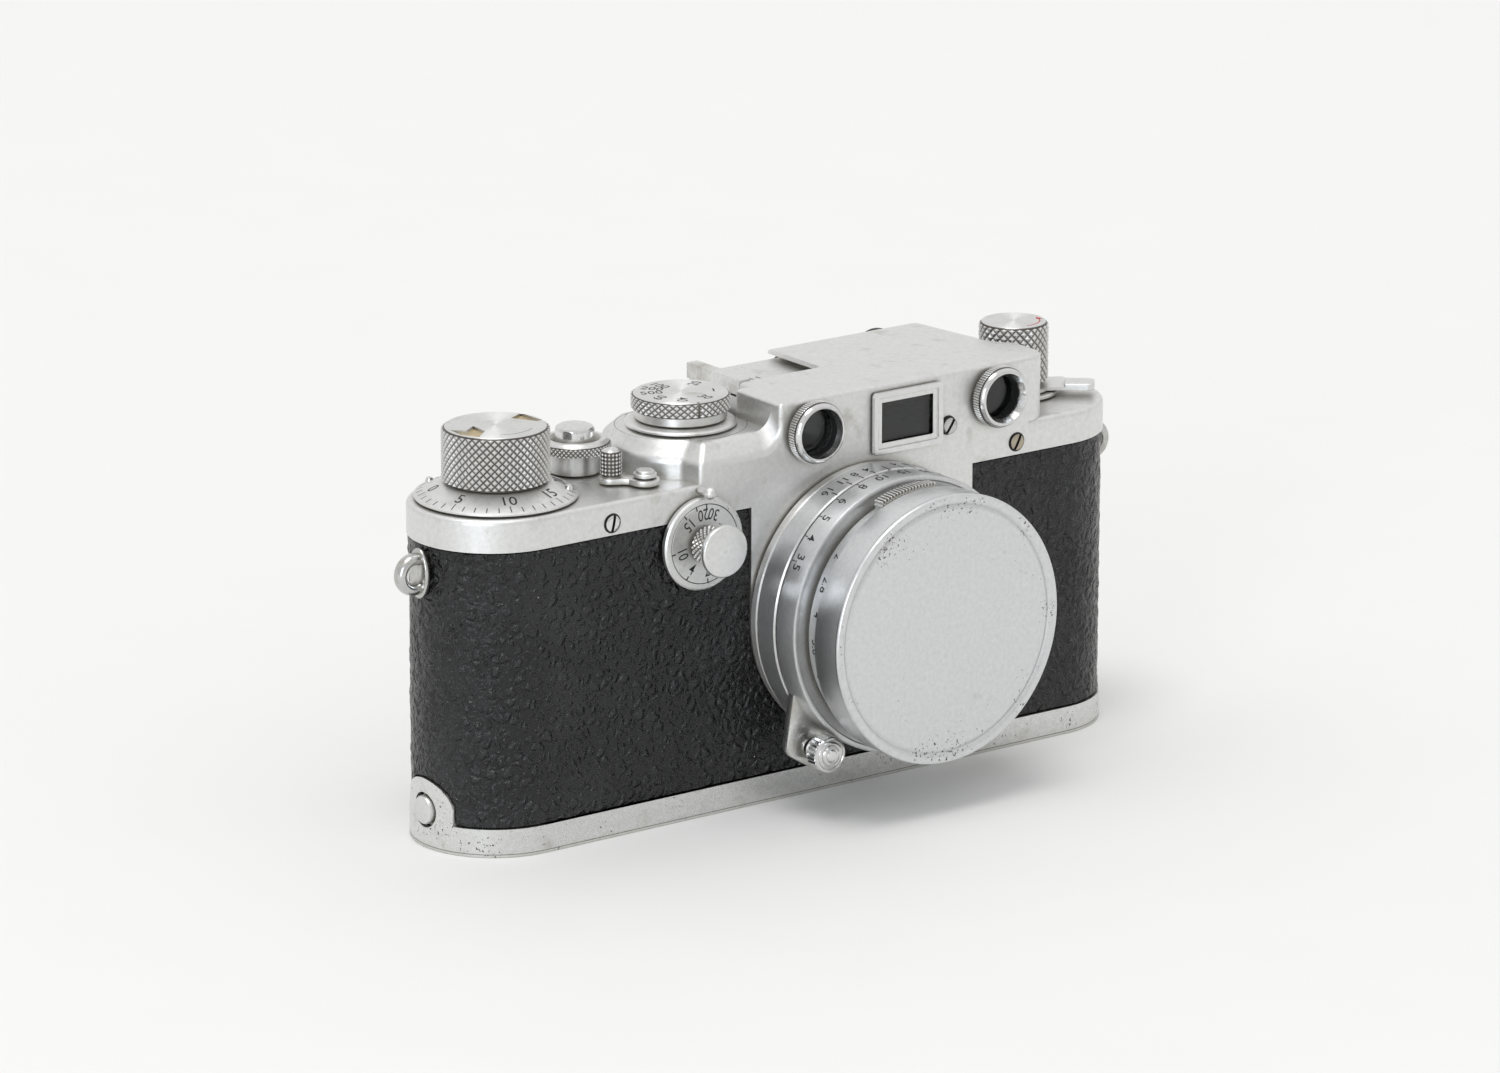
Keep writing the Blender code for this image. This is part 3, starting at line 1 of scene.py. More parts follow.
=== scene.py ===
"""Looks of a rangefinder camera: its seen pieces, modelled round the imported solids, with a plain stage."""

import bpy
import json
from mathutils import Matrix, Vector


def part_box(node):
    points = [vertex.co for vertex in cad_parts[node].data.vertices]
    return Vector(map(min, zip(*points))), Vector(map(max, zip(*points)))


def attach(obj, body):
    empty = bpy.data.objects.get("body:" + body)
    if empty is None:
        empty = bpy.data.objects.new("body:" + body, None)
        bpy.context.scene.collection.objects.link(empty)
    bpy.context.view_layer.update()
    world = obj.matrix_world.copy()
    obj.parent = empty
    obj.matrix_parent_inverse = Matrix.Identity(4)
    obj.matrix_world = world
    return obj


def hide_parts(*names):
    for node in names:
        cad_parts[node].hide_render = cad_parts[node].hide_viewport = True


bl_info = {
    "name": "Rangefinder camera",
    "version": (1, 0, 0),
    "blender": (4, 5, 0),
    "location": "View3D > Sidebar > Camera",
    "description": "Models the seen pieces of a rangefinder camera round its packed solids",
    "category": "Add Mesh",
}

import json
from math import acos, atan2, cos, degrees, hypot, pi, radians, sin

import bmesh
import bpy
from mathutils import Matrix, Vector

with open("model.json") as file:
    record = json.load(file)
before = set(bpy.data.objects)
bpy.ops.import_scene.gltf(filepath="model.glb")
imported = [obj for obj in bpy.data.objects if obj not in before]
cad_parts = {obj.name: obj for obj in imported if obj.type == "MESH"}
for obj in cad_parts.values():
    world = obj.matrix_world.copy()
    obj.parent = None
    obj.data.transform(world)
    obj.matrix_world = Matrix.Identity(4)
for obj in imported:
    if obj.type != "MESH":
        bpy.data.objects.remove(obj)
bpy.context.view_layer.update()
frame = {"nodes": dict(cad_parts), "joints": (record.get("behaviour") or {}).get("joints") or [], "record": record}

# Every length below is in millimetres, in the solids' frame: front towards -Y, +Z up
MM = 0.001
MERGE = 1e-6
PLAY = 0.3
WALL = 1.0
SKIN = 0.8


def span(node):
    """Lowest and highest corner of a solid."""
    low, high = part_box(node)
    return low / MM, high / MM


def middle(node):
    low, high = span(node)
    return (low + high) / 2


AXES = {joint["name"]: Vector(joint["pos_m"]) / MM for joint in frame["joints"] if "pos_m" in joint}
WIND = AXES["wind_turn"]
RELEASE = AXES["sprocket_turn"]
LEVER = AXES["rewind_lever_turn"]
SPEED = AXES["speed_turn"]
SLOW = AXES["slow_dial_turn"]
REWIND = AXES["rewind_turn"]
LENS = AXES["focus_turn"]
KEY = AXES["baseplate_key_turn"]

COVERING_LOW, COVERING_HIGH = span("leather_cover")
END_RADIUS = COVERING_HIGH.y
END_X = COVERING_HIGH.x - END_RADIUS
SKIRT_BOTTOM = COVERING_HIGH.z + PLAY
DECK = span("counter_dial")[0].z - PLAY
RAISED_TOP = span("speed_ring")[0].z - PLAY
HOUSING_TOP = span("top_cover")[1].z
HOUSING_BACK = span("top_cover")[1].y
HOUSING_RIGHT = END_X * 0.91
SHOE_LOW, SHOE_HIGH = span("accessory_shoe")
SHOE_STEP = 3.0
HOUSING_LEFT = SHOE_LOW.x - SHOE_STEP
BASE_TOP = COVERING_LOW.z - PLAY
TAB_TOP = span("baseplate")[1].z
TAB_SHOULDER = 7.0
TAB_HALF = 6.1
APRON_HALF = 22.8
SLOPE_DROP = 3.1
SLOPE_RUN = 2.6
# Depths between which a cut goes through the front or the back wall
THROUGH = (5, 30)
# The focusing lever's round end, from the lens's axis
LEVER_REACH = 26.7
LEVER_ANGLE = radians(230)
LEVER_TIP = (LEVER_REACH * cos(LEVER_ANGLE), LEVER_REACH * sin(LEVER_ANGLE))
# Outer radii of the lens's two rear rings
BASE_RING = 23.5
FOCUS_RING = 23.4
# How far printed marks stand off their surface
PRINT = 0.012
ROUND_PRINT = 0.015
# A digit's height in its type size, and how much its strokes are fattened
DIGIT_SHARE = 0.72
STROKE_SHARE = 0.006

# Turns that lay a piece's own +Z up, to the front, to the back, to the left and to the right
UP = (0, 0, 0)
FRONT = (pi / 2, 0, 0)
BACK = (-pi / 2, 0, 0)
LEFT = (pi / 2, 0, -pi / 2)
RIGHT = (pi / 2, 0, pi / 2)

# Axes that turned pieces are brushed about
UPRIGHT = (0, 0, 1)
FORWARD = (0, 1, 0)

# The stage, in metres; the floor in millimetres
FLOOR_HALF = 3000
FLOOR_LEVEL = -0.05
LAMP_PLACE, LAMP_DIRECTION = (-0.3, 0.4, 1.0), (0.2, 0.12, -0.97)
LAMP_STRENGTH, LAMP_SPREAD = 1.05, radians(28)
SIDE_PLACE, SIDE_TARGET = (-1.3, -0.9, 0.42), (-0.02, 0, 0.03)
SIDE_WIDE, SIDE_TALL, SIDE_POWER = 0.4, 0.9, 7.0
SIDE_COLOUR = (0.84, 0.91, 1.0)

# Where the photograph was taken from: metres and degrees, with the lens in millimetres
VIEW_TARGET = (-0.002699, 0, 0.041032)
VIEW_DISTANCE = 1.21617
VIEW_AZIMUTH, VIEW_ELEVATION, VIEW_ROLL = -36.491, 16.018, 0.067
VIEW_LENS, VIEW_SENSOR = 176.88, 36.0


def length(name, description, default, least=0.0):
    return bpy.props.FloatProperty(
        name=name, description=description, default=default, min=least, unit="LENGTH", subtype="DISTANCE")


def count(name, description, default):
    return bpy.props.IntProperty(name=name, description=description, default=default, min=8)


def colour(name, description, default):
    return bpy.props.FloatVectorProperty(
        name=name, description=description, default=default, min=0, max=1, size=3, subtype="COLOR")


class CameraSizes(bpy.types.PropertyGroup):
    """Sizes of the finer shapes, which the solids leave out."""

    grain_size: length("Grain size", "Distance between the covering's grains", 0.0019, 0.0005)
    grain_depth: length("Grain depth", "Depth of the creases between the covering's grains", 0.00030)
    cover_edge: length("Cover edge", "Rounding of the top cover's edges", 0.0009, 0.0001)
    wind_depth: length("Wind knob knurl", "Height of the diamonds on the wind knob", 0.00042)
    wind_diamonds: count("Wind knob diamonds", "Diamonds round the wind knob", 43)
    rewind_diamonds: count("Rewind knob diamonds", "Diamonds round the rewind knob", 26)
    speed_diamonds: count("Speed dial diamonds", "Diamonds round the speed dial", 40)
    bezel_lines: count("Bezel lines", "Milled lines round each rangefinder bezel", 72)
    number_height: length("Number height", "Height of the counter dial's numbers", 0.0021, 0.0005)


class CameraColours(bpy.types.PropertyGroup):
    """Colours of the finishes."""

    chrome: colour("Satin chrome", "Cover, knobs and dials", (0.73, 0.73, 0.72))
    lens: colour("Lens chrome", "Rings of the lens and its cap", (0.67, 0.675, 0.68))
    bright: colour("Bright chrome", "Bezels, frame and button", (0.70, 0.70, 0.695))
    # Also the colour of the dirt and painted shade in crevices
    stain: colour("Stain", "Old dirt on the chrome", (0.30, 0.27, 0.20))
    # Also the colour of the painted shade in knurl valleys
    pit: colour("Pit", "Corroded spots in the chrome", (0.06, 0.05, 0.04))
    steel: colour("Steel", "Screws, shafts and lugs", (0.56, 0.56, 0.55))
    brass: colour("Brass", "Bare metal under worn chrome", (0.44, 0.39, 0.31))
    tan: colour("Tan", "Floor of the wind knob's windows", (0.40, 0.32, 0.19))
    covering: colour("Covering", "Grained covering of the body", (0.013, 0.013, 0.014))
    paint: colour("Black paint", "Insides and eyepieces", (0.012, 0.012, 0.012))
    glass: colour("Glass", "Windows and lens glasses", (0.28, 0.30, 0.30))
    # Also the painted shade in screw slots and round screw heads
    ink: colour("Ink", "Numbers and marks", (0.012, 0.012, 0.013))
    red: colour("Red", "Arrow on the rewind knob", (0.42, 0.035, 0.03))
    floor: colour("Floor", "Paper under the camera", (0.76, 0.76, 0.745))


def tone(name):
    return tuple(getattr(bpy.context.scene.camera_colours, name))


def deselect():
    if bpy.context.mode != "OBJECT":
        bpy.ops.object.mode_set(mode="OBJECT")
    bpy.ops.object.select_all(action="DESELECT")


def edit():
    bpy.ops.object.mode_set(mode="EDIT")


def select_all():
    bpy.ops.mesh.select_all(action="SELECT")


def take(item):
    deselect()
    item.select_set(True)
    bpy.context.view_layer.objects.active = item
    return item


def pick(item, test, kind="verts"):
    """Select the points, edges or faces that pass a test, in edit mode."""
    bpy.ops.mesh.select_mode(type={"verts": "VERT", "edges": "EDGE", "faces": "FACE"}[kind])
    bpy.ops.mesh.select_all(action="DESELECT")
    shape = bmesh.from_edit_mesh(item.data)
    found = 0
    for part in getattr(shape, kind):
        if test(part):
            part.select_set(True)
            found += 1
    shape.select_flush_mode()
    bmesh.update_edit_mesh(item.data)
    if not found:
        raise RuntimeError(f"nothing to shape on {item.name}")


def push(x, y, z):
    bpy.ops.mesh.extrude_region_move(TRANSFORM_OT_translate={"value": (x * MM, y * MM, z * MM)})


def swell(x, y, z, centre=(0, 0, 0)):
    bpy.ops.transform.resize(value=(x, y, z), center_override=Vector(centre) * MM)


def close_up():
    """Merge what meets, point every face outwards and leave edit mode."""
    select_all()
    bpy.ops.mesh.remove_doubles(threshold=MERGE)
    bpy.ops.mesh.normals_make_consistent(inside=False)
    bpy.ops.object.mode_set(mode="OBJECT")


def draw(name, points):
    """A run of edges drawn through points, left in edit mode."""
    deselect()
    bpy.ops.mesh.primitive_plane_add(size=MM)
    item = bpy.context.active_object
    item.name = name
    item.data.name = name
    edit()
    bpy.ops.mesh.select_mode(type="VERT")
    select_all()
    bpy.ops.mesh.merge(type="CENTER")
    bpy.ops.transform.translate(value=Vector(points[0]) * MM)
    for here, there in zip(points, points[1:]):
        push(*(Vector(there) - Vector(here)))
    return item


def turned(name, profile, steps=96):
    """A profile of radius and height spun about Z."""
    item = draw(name, [(radius, 0, height) for radius, height in profile])
    select_all()
    bpy.ops.mesh.spin(steps=steps, angle=2 * pi, center=(0, 0, 0), axis=(0, 0, 1))
    close_up()
    return item


def plate(name, outline, low, high):
    """A flat outline in X and Y, filled and raised."""
    item = draw(name, [(x, y, low) for x, y in outline + outline[:1]])
    select_all()
    bpy.ops.mesh.remove_doubles(threshold=MERGE)
    bpy.ops.mesh.edge_face_add()
    push(0, 0, high - low)
    close_up()
    return item


def lay(item, place=(0, 0, 0), turn=UP):
    """Put a piece in its place, with the place kept in its mesh."""
    take(item)
    item.rotation_euler = turn
    item.location = Vector(place) * MM
    bpy.ops.object.transform_apply(location=True, rotation=True, scale=True)
    return item


def stand(item, place, right, up, width=1.0, height=1.0):
    """Put a flat mark on a surface, its own X along right and its own Y along up."""
    take(item)
    right = Vector(right).normalized()
    up = Vector(up).normalized()
    turn = Matrix((right, up, right.cross(up))).transposed().to_4x4()
    item.matrix_world = Matrix.Translation(Vector(place) * MM) @ turn @ Matrix.Diagonal((width, height, 1, 1))
    bpy.ops.object.transform_apply(location=True, rotation=True, scale=True)
    return item


def apply(item, kind, **settings):
    take(item)
    step = item.modifiers.new(kind.lower(), kind)
    for name, value in settings.items():
        setattr(step, name, value)
    bpy.ops.object.modifier_apply(modifier=step.name)
    return item


def round_edges(item, width, segments=2, angle=35):
    return apply(
        item, "BEVEL", width=width * MM, segments=segments, limit_method="ANGLE", angle_limit=radians(angle))


def boolean(item, other, operation):
    apply(item, "BOOLEAN", operation=operation, solver="EXACT", object=other, material_mode="TRANSFER")
    bpy.data.objects.remove(other, do_unlink=True)
    return item


def cut(item, *others):
    for other in others:
        boolean(item, other, "DIFFERENCE")
    return item


def unite(item, *others):
    for other in others:
        boolean(item, other, "UNION")
    return item


def join(items, name=None):
    take(items[0])
    for item in items[1:]:
        item.select_set(True)
    if len(items) > 1:
        bpy.ops.object.join()
    if name:
        items[0].name = name
    return items[0]


def copy(item, name):
    take(item)
    bpy.ops.object.duplicate(linked=False)
    twin = bpy.context.active_object
    twin.name = name
    twin.data.name = name
    return twin


def knurl(item, radius, levels, columns, depth, pattern="diamonds"):
    """Raise every other crossing of a turned grip's grid, its lines, or its squares."""
    take(item)
    edit()

    def raised(point):
        x, y, z = point.co / MM
        if abs(hypot(x, y) - radius) > 0.03:
            return False
        row = min(range(len(levels)), key=lambda i: abs(levels[i] - z))
        if abs(levels[row] - z) > 0.03:
            return False
        column = round(atan2(y, x) / (2 * pi) * columns)
        if pattern == "lines":
            return column % 2 == 0
        if pattern == "squares":
            return column % 2 == 0 and row % 2 == 1
        return (column + row) % 2 == 0

    pick(item, raised)
    grow = 1 + depth / radius
    swell(grow, grow, 1)
    select_all()
    bpy.ops.mesh.quads_convert_to_tris(quad_method="SHORTEST_DIAGONAL")
    close_up()
    return item


def steps_between(low, high, count):
    return [low + (high - low) * i / count for i in range(count + 1)]


def arc(centre, radius, start, end, steps):
    angles = [radians(start + (end - start) * i / steps) for i in range(steps + 1)]
    return [(centre[0] + radius * cos(a), centre[1] + radius * sin(a)) for a in angles]


def circle(radius, steps, centre=(0, 0)):
    return arc(centre, radius, 0, 360, steps)[:-1]


def about(radius, level, *offsets):
    """Points of a profile, each given by how far it lies from one radius and level."""
    return [(radius + out, level + up) for out, up in offsets]


def over(point):
    """A place on the upright line through a point."""
    return (point.x, point.y, 0)


def facing(point):
    """A place on the line from front to back through a point."""
    return (point.x, 0, point.z)


def stadium(radius, steps=28):
    return arc((END_X, 0), radius, -90, 90, steps) + arc((-END_X, 0), radius, 90, 270, steps)


def rectangle(left, right, low, high):
    return [(left, low), (right, low), (right, high), (left, high)]


def rounded_rectangle(wide, tall, corner):
    points = []
    for x, y, start in ((1, -1, -90), (1, 1, 0), (-1, 1, 90), (-1, -1, 180)):
        points += arc((x * (wide - corner), y * (tall - corner)), corner, start, start + 90, 6)
    return points


def number(text, height, place, right, up, width=1.0):
    """A printed number, flat on its surface."""
    deselect()
    bpy.ops.object.text_add()
    item = bpy.context.active_object
    item.data.body = text
    item.data.size = height * MM / DIGIT_SHARE
    item.data.resolution_u = 3
    item.data.align_x = "CENTER"
    item.data.align_y = "CENTER"
    item.data.offset = STROKE_SHARE * height * MM
    bpy.ops.object.convert(target="MESH")
    return stand(bpy.context.active_object, place, right, up, width)


def tick(width, length, place, right, up):
    """A printed line, flat on its surface."""
    deselect()
    bpy.ops.mesh.primitive_plane_add(size=MM)
    return stand(bpy.context.active_object, place, right, up, width, length)


def finish(item, material, body, *nodes, slot="satin_chrome", angle=32, even=False):
    """Smooth a piece, give it its finish, and set it on the body that carries it."""
    take(item)
    bpy.ops.object.shade_smooth_by_angle(angle=radians(angle))
    if even:
        apply(item, "WEIGHTED_NORMAL", keep_sharp=True)
    if material:
        item.data.materials.clear()
        item.data.materials.append(material)
    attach(item, body)
    if nodes:
        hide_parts(*nodes)
    return item


def feed(tree, node, inputs):
    """Link sockets to a node's inputs, and set its other inputs to plain values."""
    for name, value in inputs.items():
        if isinstance(value, bpy.types.NodeSocket):
            tree.links.new(value, node.inputs[name])
        else:
            node.inputs[name].default_value = value


def add_node(tree, kind, inputs=None, **settings):
    made = tree.nodes.new(kind)
    for name, value in settings.items():
        setattr(made, name, value)
    feed(tree, made, inputs or {})
    return made


def calc(tree, operation, first, second=0.0, clamp=False):
    return add_node(tree, "ShaderNodeMath", {0: first, 1: second}, operation=operation, use_clamp=clamp).outputs[0]


def blend(tree, factor, first, second):
    made = add_node(tree, "ShaderNodeMix", data_type="RGBA")
    first, second = (v if isinstance(v, bpy.types.NodeSocket) else (*v, 1) for v in (first, second))
    feed(tree, made, {0: factor, 6: first, 7: second})
    return made.outputs[2]


def ramp(tree, value, low, high, to_low=0.0, to_high=1.0):
    made = add_node(tree, "ShaderNodeMapRange", {
        "Value": value, "From Min": low, "From Max": high, "To Min": to_low, "To Max": to_high}, clamp=True)
    return made.outputs[0]


def new_material(name):
    made = bpy.data.materials.new(name)
    made.use_nodes = True
    return made, made.node_tree, made.node_tree.nodes["Principled BSDF"]


def whereabouts(tree):
    return add_node(tree, "ShaderNodeTexCoord").outputs["Object"]


def noise(tree, place, scale, detail, roughness=0.5, output="Fac"):
    return add_node(tree, "ShaderNodeTexNoise", {
        "Vector": place, "Scale": scale, "Detail": detail, "Roughness": roughness}).outputs[output]


def vector(tree, operation, *values, output="Vector"):
    return add_node(tree, "ShaderNodeVectorMath", dict(enumerate(values)), operation=operation).outputs[output]


def wear_group():
    """Old age of a metal surface: cloudy stains, corroded pits and fine grain."""
    name = "metal_wear"
    if name in bpy.data.node_groups:
        return bpy.data.node_groups[name]
    group = bpy.data.node_groups.new(name, "ShaderNodeTree")
    face = group.interface
    for label, default in (
            ("Stain Scale", 180.0), ("Stain Spread", 0.3), ("Pit Scale", 1700.0), ("Pit Spread", 0.1),
            ("Grain Scale", 5000.0)):
        socket = face.new_socket(label, in_out="INPUT", socket_type="NodeSocketFloat")
        socket.default_value = default
    for label in ("Stain", "Pit", "Grain"):
        face.new_socket(label, in_out="OUTPUT", socket_type="NodeSocketFloat")
    start = group.nodes.new("NodeGroupInput").outputs
    end = group.nodes.new("NodeGroupOutput").inputs
    place = whereabouts(group)
    cloud = noise(group, place, start["Stain Scale"], 7.0, 0.62)
    least = calc(group, "SUBTRACT", 0.72, calc(group, "MULTIPLY", start["Stain Spread"], 0.45))
    most = calc(group, "ADD", least, 0.22)
    group.links.new(ramp(group, cloud, least, most), end["Stain"])
    fleck = noise(group, place, start["Pit Scale"], 5.0, 0.65)
    patch = noise(group, place, 150.0, 3.0)
    reach = calc(group, "MULTIPLY", start["Pit Spread"], ramp(group, patch, 0.34, 0.62))
    edge = calc(group, "SUBTRACT", 0.76, reach)
    group.links.new(ramp(group, fleck, edge, calc(group, "ADD", edge, 0.035)), end["Pit"])
    group.links.new(noise(group, place, start["Grain Scale"], 3.0), end["Grain"])
    return group


def metal(
        name, base, roughness, stains=0.3, pits=0.06, dirt=0.6, bump=0.10, spin=None, valley=None, stain_scale=180.0):
    """A worn metal, darkened in its crevices with dirt and painted shade. spin is the axis and centre of a turned
    piece; valley the low and high radius of its knurl, whose valleys are darkened with painted shade.
    """
    if name in bpy.data.materials:
        return bpy.data.materials[name]
    made, tree, shader = new_material(name)
    wear = add_node(tree, "ShaderNodeGroup", node_tree=wear_group())
    feed(tree, wear, {"Stain Scale": stain_scale, "Stain Spread": stains, "Pit Spread": pits})
    # Darker and browner in crevices, found by ambient occlusion: dirt gathered there, and painted shade
    crevice = add_node(tree, "ShaderNodeAmbientOcclusion", {"Distance": 0.0016}, samples=6).outputs["AO"]
    crevice_dirt_and_shade = ramp(tree, crevice, 0.95, 0.25, 0.0, dirt)
    crevice_dirt_and_shade = calc(tree, "MULTIPLY", crevice_dirt_and_shade, ramp(tree, wear.outputs["Grain"], 0.3, 0.7, 0.5, 1.0))
    cloudy = calc(tree, "MULTIPLY", wear.outputs["Stain"], 0.55)
    stains_and_crevice_shade = calc(tree, "MAXIMUM", crevice_dirt_and_shade, cloudy)
    height = calc(tree, "SUBTRACT", wear.outputs["Grain"], calc(tree, "MULTIPLY", wear.outputs["Pit"], 2.0))
    if spin:
        away, radial = from_axis(tree, *spin)
        rings = noise(tree, add_node(tree, "ShaderNodeCombineXYZ", {"X": away}).outputs[0], 4200.0, 2.0)
        height = calc(tree, "ADD", calc(tree, "MULTIPLY", height, 0.4), calc(tree, "MULTIPLY", rings, 1.6))
        feed(tree, shader, {"Tangent": vector(tree, "ADD", radial, spin[0]), "Anisotropic": 0.75})
    mottle = noise(tree, whereabouts(tree), 1300.0, 6.0, 0.7)
    dull, fair = tuple(0.91 * v for v in base), tuple(min(1.0, 1.05 * v) for v in base)
    fresh = blend(tree, ramp(tree, mottle, 0.32, 0.68), dull, fair)
    shade = blend(tree, stains_and_crevice_shade, fresh, tone("stain"))
    # Painted shade: the knurl's valleys darkened towards the pit colour
    if valley:
        low, high = valley
        away = from_axis(tree, *spin)[0]
        off = calc(tree, "ABSOLUTE", calc(tree, "SUBTRACT", away, low * MM))
        ring = calc(tree, "LESS_THAN", off, 0.5 * (high - low) * MM)
        shadow = ramp(tree, away, low * MM, (low + 0.42 * (high - low)) * MM, 0.9, 0.0)
        valley_shade = calc(tree, "MULTIPLY", ring, shadow)
        shade = blend(tree, valley_shade, shade, tone("pit"))
    shade = blend(tree, wear.outputs["Pit"], shade, tone("pit"))
    rough = ramp(tree, wear.outputs["Grain"], 0.25, 0.75, roughness - 0.05, roughness + 0.06)
    rough = calc(tree, "ADD", rough, calc(tree, "MULTIPLY", stains_and_crevice_shade, 0.25), clamp=True)
    relief = add_node(tree, "ShaderNodeBump", {"Strength": bump, "Distance": 0.00005, "Height": height})
    feed(tree, shader, {
        "Base Color": shade, "Metallic": 1.0, "Roughness": rough, "Normal": relief.outputs["Normal"]})
    return made


def from_axis(tree, axis, centre):
    """Distance and direction of a point from a turned piece's axis."""
    place = whereabouts(tree)
    moved = vector(tree, "SUBTRACT", place, Vector(centre) * MM)
    flat = vector(tree, "MULTIPLY", moved, tuple(1 - abs(v) for v in axis))
    return vector(tree, "LENGTH", flat, output="Value"), vector(tree, "NORMALIZE", flat)


def satin(name="worn_satin_chrome", roughness=0.41, **wear):
    return metal(name, tone("chrome"), roughness, **wear)


def lens_chrome(name, **wear):
    """The lens's finer, cooler chrome."""
    return metal(name, tone("lens"), 0.34, stains=0.1, **wear)


def ring_chrome(name):
    """The lens's chrome, brushed round its axis."""
    return lens_chrome(name, spin=(FORWARD, facing(LENS)), bump=0.04, pits=0.02)


def bright():
    return metal("polished_chrome", tone("bright"), 0.16, stains=0.15, pits=0.02, dirt=0.35, bump=0.03)


def steel():
    return metal("turned_steel", tone("steel"), 0.30, stains=0.35, pits=0.05, dirt=0.6)


def brass():
    return metal("worn_brass", tone("brass"), 0.38, stains=0.4, pits=0.06, dirt=0.5)


def plain(name, base, roughness, unevenness=0.08, scale=1500.0):
    """Paint, ink or paper: one colour with slight unevenness."""
    if name in bpy.data.materials:
        return bpy.data.materials[name]
    made, tree, shader = new_material(name)
    cloud = noise(tree, whereabouts(tree), scale, 4.0)
    dark = tuple(v * (1 - unevenness) for v in base)
    light = tuple(min(1.0, v * (1 + unevenness)) for v in base)
    feed(tree, shader, {
        "Base Color": blend(tree, ramp(tree, cloud, 0.3, 0.7), dark, light),
        "Roughness": ramp(tree, cloud, 0.3, 0.7, roughness - 0.05, roughness + 0.05)})
    return made


def print_marks(marks, name, body):
    finish(join(marks, name), ink(), body)


def engraved():
    return plain("engraved_line", (0.16, 0.155, 0.14), 0.5)


def black_paint():
    return plain("dull_black_paint", tone("paint"), 0.55, 0.3)


# Ink for printed marks; also the painted shade in screw slots and round screw heads
def ink():
    return plain("ink", tone("ink"), 0.5, 0.4, 4000.0)


def window_glass():
    made, tree, shader = new_material("dark_window_glass")
    haze = noise(tree, whereabouts(tree), 350.0, 5.0)
    feed(tree, shader, {
        "Base Color": (*tone("glass"), 1), "Roughness": ramp(tree, haze, 0.45, 0.8, 0.02, 0.14),
        "Transmission Weight": 1.0, "IOR": 1.5})
    return made


def covering_material():
    """Grained black covering: creases between grains, darkened with painted shade, dull and shiny patches, a few pale
    specks.
    """
    made, tree, shader = new_material("grained_covering")
    sizes = bpy.context.scene.camera_sizes
    base = tone("covering")
    place = whereabouts(tree)
    warp = noise(tree, place, 480.0, 3.0, output="Color")
    bent = vector(tree, "MULTIPLY_ADD", warp, (0.0024, 0.0024, 0.0018), place)
    cells = add_node(tree, "ShaderNodeTexVoronoi", {
        "Vector": bent, "Scale": 1.05 / sizes.grain_size}, feature="DISTANCE_TO_EDGE").outputs["Distance"]
    crease = add_node(tree, "ShaderNodeMapRange", {
        "Value": cells, "From Min": 0.0, "From Max": 0.42}, interpolation_type="SMOOTHSTEP").outputs[0]
    fine = noise(tree, place, 2600.0, 4.0)
    patches = noise(tree, place, 90.0, 3.0)
    # Painted shade: the colour darkened to 45% in the creases between grains
    shade = blend(tree, crease, tuple(0.45 * v for v in base), base)
    shade = blend(tree, ramp(tree, patches, 0.45, 0.75, 0.0, 0.5), shade, tuple(1.9 * v for v in base))
    specks = add_node(tree, "ShaderNodeTexVoronoi", {"Vector": place, "Scale": 420.0})
    odd = add_node(tree, "ShaderNodeSeparateColor", {"Color": specks.outputs["Color"]}).outputs
    speck = calc(tree, "MULTIPLY", calc(tree, "LESS_THAN", specks.outputs["Distance"], 0.055),
                 calc(tree, "LESS_THAN", odd["Red"], 0.05))
    shade = blend(tree, speck, shade, (0.45, 0.43, 0.40))
    height = calc(tree, "ADD", crease, calc(tree, "MULTIPLY", fine, 0.25))
    relief = add_node(tree, "ShaderNodeBump", {"Strength": 1.0, "Distance": 0.00045, "Height": height})
    feed(tree, shader, {
        "Base Color": shade, "Roughness": ramp(tree, fine, 0.25, 0.75, 0.19, 0.33), "Specular IOR Level": 0.42,
        "Normal": relief.outputs["Normal"]})
    return made


class PieceOperator(bpy.types.Operator):
    """Base of the camera's piece operators."""

    bl_options = {"REGISTER", "UNDO"}


